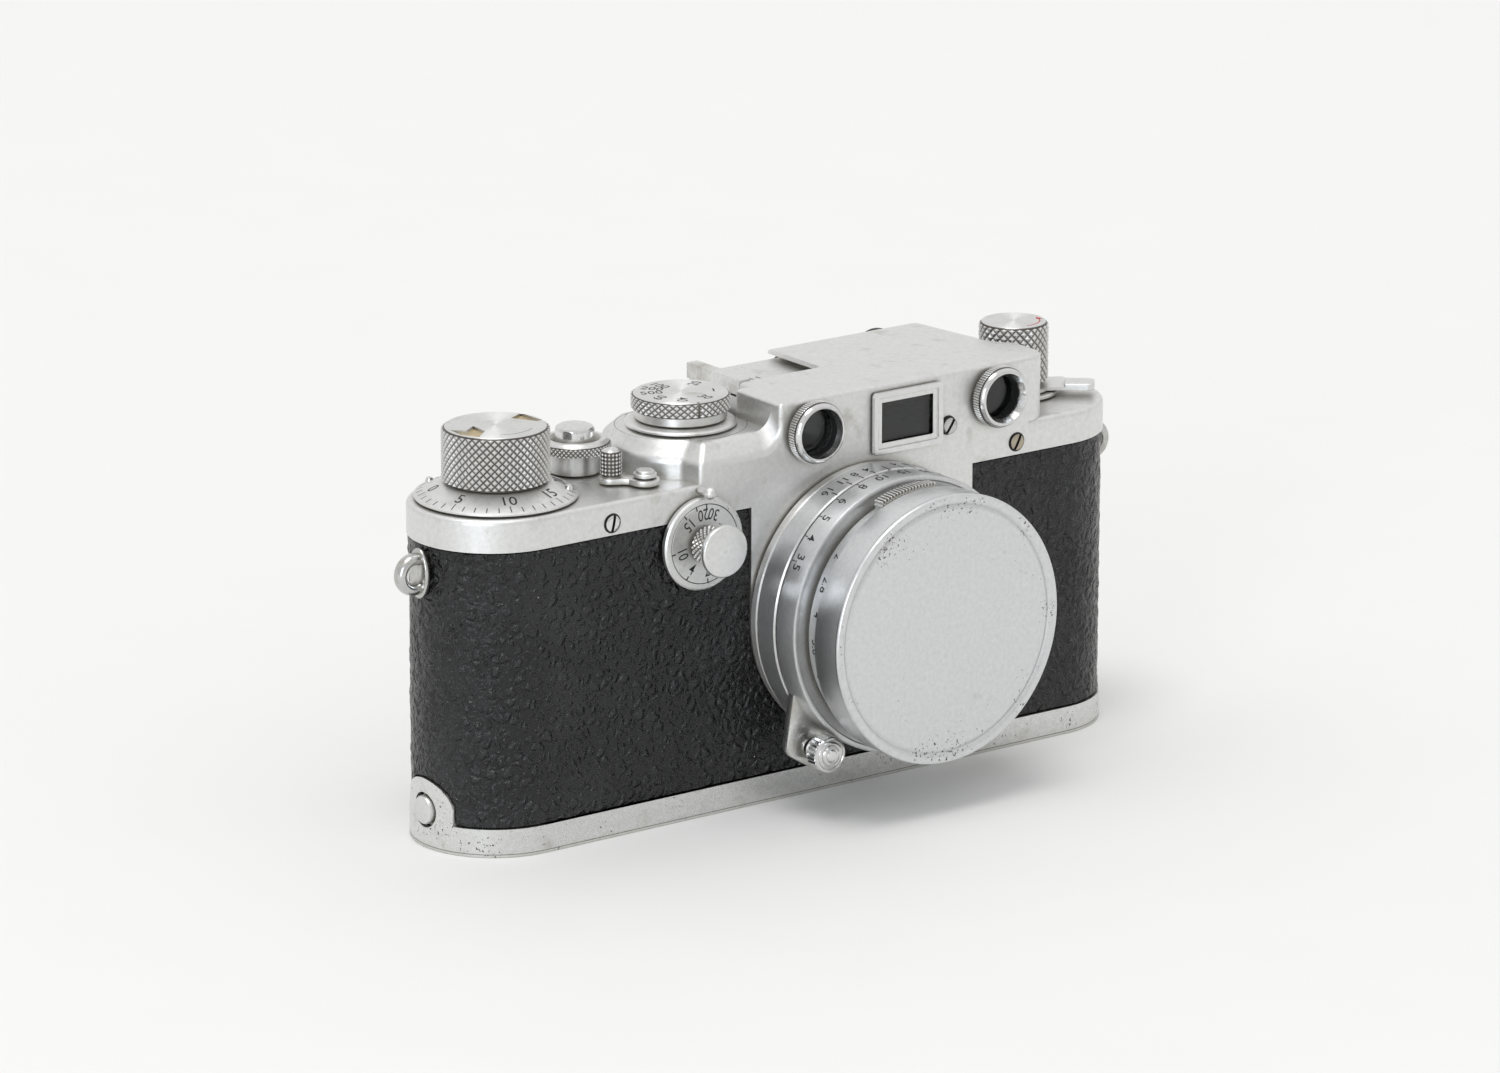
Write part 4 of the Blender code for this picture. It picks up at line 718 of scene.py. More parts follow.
class CAMERA_OT_covering(PieceOperator):
    """Wrap the body in its grained covering, with openings for the apron and the base plate's tab."""

    bl_idname = "camera_piece.covering"
    bl_label = "Covering"

    def execute(self, context):
        sizes = context.scene.camera_sizes
        low, high = COVERING_LOW.z, COVERING_HIGH.z
        spacing = 0.46
        across = round(2 * END_X / spacing)
        round_steps = round(pi * END_RADIUS / spacing)
        right = arc((END_X, 0), END_RADIUS, -90, 90, round_steps)
        left = arc((-END_X, 0), END_RADIUS, 90, 270, round_steps)
        back = [(END_X - 2 * END_X * i / across, END_RADIUS) for i in range(1, across)]
        front = [(-END_X + 2 * END_X * i / across, -END_RADIUS) for i in range(1, across)]
        loop = right + back + left + front
        skin = draw("grained_covering", [(x, y, low) for x, y in loop + loop[:1]])
        select_all()
        bpy.ops.mesh.remove_doubles(threshold=MERGE)
        select_all()
        rows = round((high - low) / spacing)
        for _ in range(rows):
            push(0, 0, (high - low) / rows)
        close_up()
        self.grain(skin, sizes)
        self.thicken(skin, low, high)
        self.openings(skin)
        finish(skin, covering_material(), "body", "leather_cover", slot="covering", angle=80)
        return {"FINISHED"}

    def grain(self, skin, sizes):
        grains = bpy.data.textures.new("grains", "VORONOI")
        grains.noise_scale = sizes.grain_size
        grains.weight_1 = -1.0
        grains.weight_2 = 1.0
        grains.noise_intensity = 1.5
        folds = bpy.data.textures.new("folds", "CLOUDS")
        folds.noise_scale = 1.6 * sizes.grain_size
        folds.noise_depth = 2
        for texture, depth, middle in ((grains, sizes.grain_depth, 1.0), (folds, sizes.grain_depth, 0.8)):
            apply(skin, "DISPLACE", texture=texture, strength=depth, mid_level=middle, texture_coords="LOCAL")

    def thicken(self, skin, low, high):
        """Turn both rims inwards and close them with a plain inner wall."""
        take(skin)
        edit()
        for level in (low, high):
            pick(skin, lambda p: abs(p.co.z / MM - level) < 0.02 and p.is_boundary)
            push(0, 0, 0)
            self.draw_in(skin, level)
        pick(skin, lambda e: e.is_boundary, "edges")
        bpy.ops.mesh.bridge_edge_loops()
        close_up()

    def draw_in(self, skin, level):
        """Bring the selected rim in to the covering's inner face."""
        inner = (END_RADIUS - SKIN) / END_RADIUS
        shape = bmesh.from_edit_mesh(skin.data)
        shape.verts.index_update()
        rim = {p.index for p in shape.verts if p.select}
        right = {p.index for p in shape.verts if p.select and p.co.x / MM >= END_X - 0.2}
        left = {p.index for p in shape.verts if p.select and p.co.x / MM <= 0.2 - END_X}
        for group, centre, wide in ((right, END_X, inner), (left, -END_X, inner), (rim - right - left, 0, 1)):
            pick(skin, lambda p: p.index in group)
            swell(wide, inner, 1, (centre, 0, level))

    def openings(self, skin):
        apron = apron_outline(APRON_HALF + PLAY, SKIRT_BOTTOM + 2)
        around_apron = lay(plate("around_apron", apron, *THROUGH), turn=FRONT)
        around_tab = lay(plate("around_tab", tab_outline(PLAY), -100, -END_X), turn=RIGHT)
        cut(skin, around_apron, around_tab)


def apron_outline(half, top):
    """Front apron in x and z: straight sides and a half circle round the lens."""
    below = arc((LENS.x, LENS.z), half, 180, 360, 48)
    return [(LENS.x - half, top)] + [(x, max(z, BASE_TOP + PLAY)) for x, z in below] + [(LENS.x + half, top)]


def tab_outline(grow):
    """Base plate tab in y and z: straight sides up to a shoulder, then a round top."""
    wide = TAB_HALF + grow
    rise = TAB_TOP + grow - TAB_SHOULDER
    top = [(wide * x, TAB_SHOULDER + rise * y) for x, y in arc((0, 0), 1, 180, 0, 24)]
    return [(-wide, BASE_TOP)] + top + [(wide, BASE_TOP)]


def raised_outline(inset, right):
    """Raised deck from above: a bulge about the speed dial between straight runs."""
    left = SPEED.x - 6.2 + inset
    front = -END_RADIUS + inset
    reach = hypot(SPEED.x - RELEASE.x, RELEASE.y) - 6.76
    bulge = arc((SPEED.x, 0), reach - inset, 125, 235, 26)
    return [(left, front), (right, front), (right, -front), (left, -front)] + bulge


def housing_outline(inset, back):
    """Housing from above: rounded front corner, hollow side round the rewind knob, step at the shoe."""
    left = HOUSING_LEFT + inset
    front = -END_RADIUS + inset
    right = HOUSING_RIGHT
    step = -1.55 - inset
    hollow = 7.9 + inset
    meet = 180 + degrees(acos((REWIND.x - right + inset) / hollow))
    points = [(left, front)]
    points += arc((right - 4, 4 - END_RADIUS), 4 - inset, -90, 0, 12)
    points += arc((REWIND.x, REWIND.y), hollow, meet, 180, 10)
    points += [(END_X * 0.8155 - inset, back), (SHOE_LOW.x + inset, back)]
    return points + [(SHOE_LOW.x + inset, step), (left, step)]


class CAMERA_OT_top_cover(PieceOperator):
    """Press the top cover: skirt and lower deck, raised deck, housing and front apron in one shell."""

    bl_idname = "camera_piece.top_cover"
    bl_label = "Top cover"

    def execute(self, context):
        edge = context.scene.camera_sizes.cover_edge / MM
        front = -END_RADIUS
        root = SKIRT_BOTTOM + 1.5
        cover = plate("top_cover_shell", stadium(END_RADIUS, 40), SKIRT_BOTTOM, DECK)
        edit()
        pick(cover, lambda e: all(abs(p.co.z / MM - DECK) < 0.01 for p in e.verts), "edges")
        bpy.ops.mesh.bevel(offset=edge * MM, segments=4)
        close_up()
        raised = plate("raised", raised_outline(0, HOUSING_LEFT + 3), root, RAISED_TOP - SLOPE_DROP)
        edit()
        pick(raised, lambda f: f.normal.z > 0.9, "faces")
        bpy.ops.mesh.inset(thickness=SLOPE_RUN * MM, depth=SLOPE_DROP * MM)
        close_up()
        round_edges(raised, 0.8 * edge, 4, 20)
        housing = plate("housing", housing_outline(0, HOUSING_BACK), DECK - WALL / 2, HOUSING_TOP)
        round_edges(housing, edge, 4, 28)
        strip = plate("strip", rectangle(HOUSING_LEFT + 1.5, HOUSING_RIGHT - 4.5, front, front + 5), root, DECK + 2)
        apron = plate("apron", apron_outline(APRON_HALF, SKIRT_BOTTOM + 2.7), END_RADIUS - SKIN, END_RADIUS)
        lay(apron, turn=FRONT)
        bend = self.bend()
        pieces = (raised, housing, strip, apron, bend)
        for piece in (cover, *pieces):
            piece.data.materials.append(satin())
        unite(cover, *pieces)
        self.hollow(cover)
        self.openings(cover)
        finish(cover, None, "body", "top_cover", angle=40, even=True)
        self.engrave()
        return {"FINISHED"}

    def bend(self):
        """Hollow sweep from the raised deck's front edge up to the housing's corner."""
        sweep = 3.6
        foot = RAISED_TOP - SLOPE_DROP
        left = HOUSING_LEFT
        outline = [(left - sweep, foot - 1), (left + 0.9, foot - 1), (left + 0.9, foot + sweep)]
        outline += arc((left - sweep, foot + sweep), sweep, 0, -90, 14)
        sheet = plate("bend", outline, END_RADIUS - SLOPE_RUN, END_RADIUS)
        edit()
        pick(sheet, lambda p: p.co.z / MM < END_RADIUS - 1)
        bpy.ops.transform.translate(value=(0, (SLOPE_DROP - 0.04) * MM, 0))

        def on_sweep(edge):
            ends = [p.co / MM for p in edge.verts]
            round_centre = (left - sweep, foot + sweep)
            return all(
                p.z > END_RADIUS - 0.01 and abs(hypot(p.x - round_centre[0], p.y - round_centre[1]) - sweep) < 0.01
                for p in ends)

        pick(sheet, on_sweep, "edges")
        bpy.ops.mesh.bevel(offset=0.7 * MM, segments=4)
        close_up()
        return lay(sheet, turn=FRONT)

    def hollow(self, cover):
        """Empty the shell from below. Its inside is painted black, as painted shade for the dark seen through the
        windows.
        """
        under = DECK - 2 * WALL
        spaces = (
            plate("inside", stadium(END_RADIUS - SKIN), SKIRT_BOTTOM - 5, DECK - WALL),
            plate("inside_raised", raised_outline(SLOPE_RUN + 0.4, HOUSING_LEFT + 2 * WALL), under, RAISED_TOP - WALL),
            plate("inside_housing", housing_outline(WALL, END_RADIUS - WALL), under, HOUSING_TOP - WALL),
            lay(plate("throat", circle(20.0, 64), 0, 30), LENS, FRONT),
        )
        for space in spaces:
            # Black paint here stands for painted shade inside the cover
            space.data.materials.append(black_paint())
        cut(cover, *spaces)

    def openings(self, cover):
        low, high = span("viewfinder_glass")
        view = plate("view", rectangle(low.x - PLAY, high.x + PLAY, low.z - PLAY, high.z + PLAY), *THROUGH)
        tools = [lay(view, turn=FRONT)]
        for side in ("left", "right"):
            low, high = span("rangefinder_glass_" + side)
            centre = (low + high) / 2
            disc = plate("window", circle((high.x - low.x) / 2 + PLAY, 48), *THROUGH)
            tools.append(lay(disc, facing(centre), FRONT))
        for side in ("viewfinder", "rangefinder"):
            centre = middle(side + "_eyepiece")
            disc = plate("eye", circle(3.4, 32), *THROUGH)
            tools.append(lay(disc, facing(centre), BACK))
        lip = SHOE_HIGH.x - 3.4
        front, behind = SHOE_LOW.y - PLAY, HOUSING_BACK + 20
        left = SHOE_LOW.x - 20
        pocket = rectangle(left, SHOE_HIGH.x + 0.05, front, behind)
        tools.append(plate("pocket", pocket, SHOE_LOW.z - PLAY, HOUSING_TOP - 0.8))
        mouth = [(left, front)] + arc((lip - 1, front + 1), 1, -90, 0, 6) + [(lip, behind), (left, behind)]
        tools.append(plate("mouth", mouth, HOUSING_TOP - 0.9, HOUSING_TOP + 10))
        for axis, radius in ((WIND, 2.8), (SPEED, 2.3), (REWIND, 2.3)):
            drill = plate("drill", circle(radius, 24), SKIRT_BOTTOM, HOUSING_TOP)
            tools.append(lay(drill, (axis.x, axis.y, 0)))
        for tool in tools:
            tool.data.materials.append(satin())
        cut(cover, *tools)

    def engrave(self):
        """The faint circle round the speed dial."""
        top = RAISED_TOP + PRINT
        line = lay(turned("deck_circle", [(10.78, top), (10.90, top)], 128), over(SPEED))
        finish(line, engraved(), "body")


class CAMERA_OT_base_plate(PieceOperator):
    """Press the base plate: a shallow pan with an upright tab at its left end."""

    bl_idname = "camera_piece.base_plate"
    bl_label = "Base plate"

    def execute(self, context):
        pan = plate("base_pan", stadium(END_RADIUS), 0, TAB_TOP + 4)
        wide = 2 * END_RADIUS
        high = TAB_TOP + 20
        around = [(-wide, BASE_TOP)] + tab_outline(0) + [(wide, BASE_TOP), (wide, high), (-wide, high)]
        tools = [
            plate("right_end", rectangle(-END_X, 100, -wide, wide), BASE_TOP, high),
            lay(plate("left_end", around, -100, 1.2 - END_X), turn=RIGHT),
            plate("inside", stadium(END_RADIUS - SKIN), 2.2, high),
        ]
        cut(pan, *tools)
        round_edges(pan, 0.30, 2, 40)
        centre = middle("baseplate_stud")
        hole = lay(plate("hole", circle(2.95, 40), 0, 40), (-END_X, 0, centre.z), LEFT)
        recess = lay(plate("recess", circle(8.3, 64), -2, 1.6), (KEY.x, 0, 0))
        spindle = lay(plate("spindle", circle(2.3, 24), 0, 6), (KEY.x, 0, 0))
        socket = lay(plate("socket", circle(6.3, 48), -2, 6), (middle("tripod_bush").x, 0, 0))
        cut(pan, hole, recess, spindle, socket)
        finish(pan, satin("base_chrome", 0.27, pits=0.17, stains=0.35), "baseplate", "baseplate", angle=40, even=True)
        face = END_RADIUS + 0.5
        profile = about(0, face, (0, 0), (1.9, 0), (2.25, -0.12), (2.4, -0.45))
        profile += [(2.4, 12.97), (2.65, 12.97), (2.65, 12.9), (0, 12.9)]
        head = lay(turned("tab_stud", profile, 48), (-END_X, 0, centre.z), LEFT)
        finish(head, satin("stud_head_chrome", pits=0.08), "body", "baseplate_stud", slot="steel")
        line = plate("base_lip_line", stadium(END_RADIUS + PRINT), 0.42, 0.54)
        edit()
        pick(line, lambda f: abs(f.normal.z) > 0.9, "faces")
        bpy.ops.mesh.delete(type="ONLY_FACE")
        close_up()
        finish(line, engraved(), "baseplate")
        return {"FINISHED"}


class CAMERA_OT_winding(PieceOperator):
    """Turn the wind knob with its diamond knurl and windows, and the counter dial with its scale."""

    bl_idname = "camera_piece.winding"
    bl_label = "Wind knob and counter dial"

    def execute(self, context):
        sizes = context.scene.camera_sizes
        low, high = span("wind_knob")
        top = high.z
        bottom = span("counter_dial")[1].z + PLAY
        depth = sizes.wind_depth / MM
        radius = (high.x - low.x) / 2 - depth
        columns = 2 * sizes.wind_diamonds
        levels = steps_between(bottom + 0.35, top - 0.45, 13)
        profile = [(0, bottom - 6), (2.5, bottom - 6), (2.5, bottom)] + about(radius, bottom, (-0.3, 0), (-0.05, 0.25))
        profile += [(radius, z) for z in levels]
        profile += about(radius, top, (-0.02, -0.32), (-0.35, -0.04), (-0.5, 0)) + [(0, top)]
        knob = knurl(turned("wind_knob_knurled", profile, columns), radius, levels, columns, depth)
        for outline in self.windows():
            cut(knob, plate("window", outline, top - 0.55, top + 1))
        lay(knob, over(WIND))
        spin = (UPRIGHT, over(WIND))
        chrome = satin("wind_chrome", spin=spin, valley=(radius, radius + depth), bump=0.16, dirt=0.75, pits=0.01)
        finish(knob, chrome, "wind", "wind_knob", angle=24)
        floors = []
        for outline in self.windows():
            floors.append(lay(plate("window_floor", outline, top - 0.8, top - 0.5), over(WIND)))
        floor = join(floors, "wind_window_floors")
        tan = plain("tan_floor", tone("tan"), 0.6, 0.25, 900.0)
        finish(floor, tan, "wind")
        curve = arc((WIND.x, WIND.y), 6.35, -118, -55, 24) + arc((WIND.x, WIND.y), 6.22, -55, -118, 24)
        line = plate("wind_arc", curve, top + 0.004, top + 0.014)
        finish(line, engraved(), "wind")
        self.counter(sizes)
        return {"FINISHED"}

    def windows(self):
        """Two arrow-like windows in the knob's top, from above."""
        left = [(-7.67, 1.65), (-7.9, -1.81), (-6.34, -4.6), (-3.51, -2.16), (-3.33, 1.49), (-5.48, 0.04)]
        right = [(4.37, 1.94), (4.93, 0.77), (6.6, -1.94), (7.7, -2.11), (7.45, 3.6)]
        return left, right

    def counter(self, sizes):
        low, high = span("counter_dial")
        rim = (high.x - low.x) / 2
        bore = 2.8
        flat = 8.9
        edge = 0.5
        lip = rim - 0.2
        rise = high.z - low.z - edge
        cone = [(bore, low.z)] + about(rim, low.z, (-0.1, 0), (0, 0.12), (-0.02, 0.38))
        cone += [(lip, low.z + edge), (flat, high.z), (bore, high.z), (bore, low.z)]
        dial = lay(turned("counter_dial_cone", cone, 128), over(WIND))
        chrome = satin("dial_chrome", stains=0.34, dirt=0.5, pits=0.02, bump=0.06)
        finish(dial, chrome, "counter_dial", "counter_dial")
        slope = atan2(rise, lip - flat)
        marks = []
        for step in range(40):
            angle = radians(-158.3 + 9 * (step - 5))
            out = Vector((cos(angle), sin(angle), 0))
            up = Vector((-out.x * cos(slope), -out.y * cos(slope), sin(slope)))
            face = Vector((out.x * sin(slope), out.y * sin(slope), cos(slope)))
            right = up.cross(face)

            def on_cone(distance):
                height = low.z + edge + (lip - distance) * rise / (lip - flat)
                return Vector((WIND.x, WIND.y, height)) + out * distance + face * ROUND_PRINT

            long = step % 5 == 0
            marks.append(tick(0.17, 1.5 if long else 1.15, on_cone(rim - (1.1 if long else 0.93)), right, up))
            if long:
                marks.append(number(str(step), sizes.number_height / MM, on_cone(10.35), right, up))
        print_marks(marks, "counter_scale", "counter_dial")
        pin = turned("counter_pin", [(0, 56.9), (0.7, 56.9), (0.7, 57.9), (0.5, 58.3), (0.2, 58.42), (0, 58.45)], 24)
        pins = [pin, copy(pin, "counter_pin_twin")]
        for one, angle in zip(pins, (121.7, -37.4)):
            lay(one, (WIND.x + 11.7 * cos(radians(angle)), WIND.y + 11.7 * sin(radians(angle)), 0))
        both = join(pins, "counter_pins")
        finish(both, bright(), "counter_dial")


class CAMERA_OT_release(PieceOperator):
    """Turn the release collar, its knurled ring and button, and make the change lever with its post."""

    bl_idname = "camera_piece.release"
    bl_label = "Release and change lever"

    def execute(self, context):
        low, high = span("release_collar")
        radius = (high.x - low.x) / 2 - 0.25
        cup = span("release_button")[0].z - 0.2
        levels = [60.1, 60.5, 60.9, 61.3]
        profile = [(1.8, low.z), (4.35, low.z), (4.4, low.z + 0.1), (4.4, 59.7), (4.6, 59.9), (radius - 0.2, 60.0)]
        profile += [(radius, z) for z in levels]
        profile += [(radius - 0.05, 61.45), (5.1, high.z - 0.05), (4.9, high.z), (4.3, high.z), (4.05, high.z - 0.25)]
        profile += [(3.6, 61.2), (3.55, cup), (1.8, cup), (1.8, low.z)]
        collar = knurl(turned("release_collar_knurled", profile, 96), radius, levels, 96, 0.28)
        lay(collar, over(RELEASE))
        chrome = satin("release_chrome", spin=(UPRIGHT, RELEASE), valley=(radius, radius + 0.28), dirt=0.8, bump=0.06)
        finish(collar, chrome, "body", "release_collar", angle=26)
        low, high = span("release_button")
        top = high.z
        profile = [
            (0, low.z), (1.5, low.z), (1.5, 61.0), (3.1, 61.0), (3.25, 61.15), (3.25, top - 0.95),
            (3.2, top - 0.6)]
        profile += [(3.0, top - 0.3), (2.6, top - 0.12), (1.9, top - 0.04), (0.9, top), (0, top)]
        button = lay(turned("release_button_domed", profile, 64), over(RELEASE))
        finish(button, bright(), "release_button", "release_button", slot="bright_chrome")
        self.change_lever()
        return {"FINISHED"}

    def change_lever(self):
        low, high = span("rewind_lever")
        turn = (0, 0, radians(133))
        place = over(LEVER)
        neck = arc((5.6, 0), 2.0, -118, 118, 16)
        eye = arc((0, 0), 2.4, 60, 300, 20)
        outline = neck + [(3.4, 1.25), (2.4, 1.25)] + eye + [(2.4, -1.25), (3.4, -1.25)]
        arm = plate("change_lever_arm", outline, low.z, low.z + 1.0)
        cut(arm, plate("eye", circle(1.3, 24), 50, 60))
        round_edges(arm, 0.2)
        levels = steps_between(low.z + 1.35, high.z - 0.45, 12)
        columns = 32
        profile = [(0, low.z + 0.5), (1.5, low.z + 0.5), (1.5, low.z + 1.1)] + [(1.62, z) for z in levels]
        profile += [(1.5, high.z - 0.3), (1.2, high.z - 0.08), (0.7, high.z), (0, high.z)]
        post = knurl(turned("post", profile, columns), 1.62, levels, columns, 0.22, "squares")
        lay(arm, place, turn)
        finish(arm, satin("lever_chrome", dirt=0.95, bump=0.05), "rewind_lever", "rewind_lever", angle=26)
        tip = (LEVER.x + 5.6 * cos(turn[2]), LEVER.y + 5.6 * sin(turn[2]), 0)
        lay(post, tip)
        post.name = "change_lever_post"
        gritty = satin("post_chrome", spin=(UPRIGHT, tip), valley=(1.62, 1.84), bump=0.05)
        finish(post, gritty, "rewind_lever", angle=26)
        low, high = span("rewind_lever_screw")
        head = high.z
        profile = [
            (0, low.z), (1.0, low.z), (1.0, head - 1.05), (1.9, head - 1.05), (1.9, head - 0.6),
            (1.8, head - 0.5)]
        profile += [(1.5, head - 0.5), (1.45, head - 0.1), (1.35, head), (0, head)]
        screw = lay(turned("lever_screw_cap", profile, 40), place)
        finish(screw, satin("cap_chrome", dirt=0.6), "body", "rewind_lever_screw", slot="steel")


class CAMERA_OT_speeds(PieceOperator):
    """Turn the speed dial and its ring, and the slow-speed dial with its knob and index stud."""

    bl_idname = "camera_piece.speeds"
    bl_label = "Speed dials"

    def execute(self, context):
        sizes = context.scene.camera_sizes
        low, high = span("speed_ring")
        profile = [
            (2.3, low.z), (9.2, low.z), (9.2, low.z + 0.3), (9.05, low.z + 0.42), (8.6, high.z), (2.3, high.z),
            (2.3, low.z)]
        ring = lay(turned("speed_ring_bevelled", profile, 96), over(SPEED))
        finish(ring, satin("speed_ring_chrome", dirt=0.6, bump=0.06), "body", "speed_ring")
        self.speed_dial(sizes)
        self.slow_dial()
        return {"FINISHED"}

    def speed_dial(self, sizes):
        low, high = span("speed_dial")
        top = high.z
        radius = (high.x - low.x) / 2 - 0.3
        columns = 2 * sizes.speed_diamonds
        levels = steps_between(low.z + 1.75, top - 0.42, 4)
        profile = [
            (0, top - 1.3), (2.3, top - 1.3), (2.3, low.z), (7.45, low.z), (7.6, low.z + 0.12),
            (7.6, low.z + 1.35)]
        profile += [(radius - 0.1, low.z + 1.5)] + [(radius, z) for z in levels]
        profile += [(radius - 0.05, top - 0.3), (radius - 0.4, top - 0.03), (radius - 0.55, top), (0, top)]
        dial = knurl(turned("speed_dial_knurled", profile, columns), radius, levels, columns, 0.3)
        notch = plate("notch", rectangle(7.4, 9.5, -0.22, 0.22), low.z + 1.6, top + 1)
        cut(dial, lay(notch, turn=(0, 0, radians(-104))))
        lay(dial, over(SPEED))
        spin = (UPRIGHT, over(SPEED))
        chrome = satin("speed_chrome", spin=spin, valley=(radius, radius + 0.3), bump=0.12, dirt=0.75)
        finish(dial, chrome, "speed_dial", "speed_dial", angle=26)
        marks = []
        numbers = ("20", "100", "200", "500", "60", "40", "30", "1")
        for text, angle in zip(numbers, (28, 100, 127, 158, 196, 236, 281, 330)):
            turn = radians(angle)
            out = Vector((cos(turn), sin(turn), 0))
            right = -out if cos(turn - radians(180 - 36)) > 0 else out
            up = Vector((-right.y, right.x, 0))
            place = Vector((SPEED.x, SPEED.y, top + PRINT)) + out * (4.9 if len(text) > 2 else 5.4)
            marks.append(number(text, 1.85, place, right, up))
        print_marks(marks, "speed_numbers", "speed_dial")

    def slow_dial(self):
        low, high = span("slow_dial")
        face = -low.y
        back = -high.y
        radius = (high.x - low.x) / 2
        place = facing(SLOW)
        profile = [
            (2.0, back), (radius - 0.1, back), (radius, back + 0.15), (radius, face - 0.35),
            (radius - 0.3, face - 0.06), (6.72, face), (6.66, face - 0.1), (6.58, face - 0.1), (6.52, face),
            (2.0, face), (2.0, back)]
        dial = lay(turned("slow_dial_plate", profile, 128), place, FRONT)
        finish(dial, satin("slow_chrome", pits=0.12, stains=0.3, dirt=0.5), "slow_dial", "slow_dial")
        marks = []
        line = turned("slow_circle", [(6.56, face - 0.085), (6.68, face - 0.085)], 128)
        marks.append(lay(line, place, FRONT))
        settings = (
            ("30", 70, 5.1, 87), ("20", 94, 5.0, 105.3), ("15", 130, 4.8, 127.9), ("10", 192, 4.6, 188),
            ("4", 236, 4.7, 236), ("2", 275, 4.7, 275), ("1", 320, 4.7, 320))
        centre = Vector((SLOW.x, -face - PRINT, SLOW.z))
        for text, angle, distance, mark in settings:
            out = Vector((cos(radians(mark)), 0, sin(radians(mark))))
            marks.append(tick(0.24, 0.8, centre + out * 6.3, out.cross((0, 1, 0)), -out))
            out = Vector((cos(radians(angle)), 0, sin(radians(angle))))
            marks.append(number(text, 2.0, centre + out * distance, out.cross((0, 1, 0)), -out, 0.78))
        print_marks(marks, "slow_numbers", "slow_dial")
        top = -span("slow_knob")[0].y
        foot = face + PLAY
        levels = steps_between(foot + 0.3, top - 1.5, 7)
        columns = 44
        profile = [(0, foot - 4), (1.7, foot - 4), (1.7, foot), (2.75, foot)] + [(2.9, z) for z in levels]
        profile += [(2.7, top - 1.3), (0, top - 1.3)]
        knob = knurl(turned("slow_knob_knurled", profile, columns), 2.9, levels, columns, 0.3)
        lay(knob, place, FRONT)
        spin = (FORWARD, place)
        chrome = satin("slow_knob_chrome", spin=spin, valley=(2.9, 3.2), bump=0.08, dirt=0.75)
        finish(knob, chrome, "slow_dial", "slow_knob", angle=42, even=True)
        profile = [(0, top - 1.35), (3.3, top - 1.4), (4.15, top - 1.3), (4.35, top - 1.05), (4.4, top - 0.7)]
        profile += [
            (4.35, top - 0.25), (4.2, top - 0.06), (4.05, top), (0.35, top), (0.25, top - 0.08), (0, top - 0.1)]
        disc = lay(turned("slow_knob_head", profile, 64), place, FRONT)
        finish(disc, satin("slow_head_chrome", 0.32, stains=0.2, bump=0.03), "slow_dial", angle=42, even=True)
        low, high = span("slow_index_stud")
        centre = (low + high) / 2
        tip = -low.y
        ball = [(1.05 * cos(radians(a)), tip - 1.05 + 1.05 * sin(radians(a))) for a in range(-48, 90, 6)]
        stud = turned("slow_index_ball", [(0, -high.y), (0.7, -high.y)] + ball + [(0, tip)], 32)
        lay(stud, facing(centre), FRONT)
        finish(stud, satin("stud_chrome", stains=0.5, dirt=0.7), "body", "slow_index_stud")


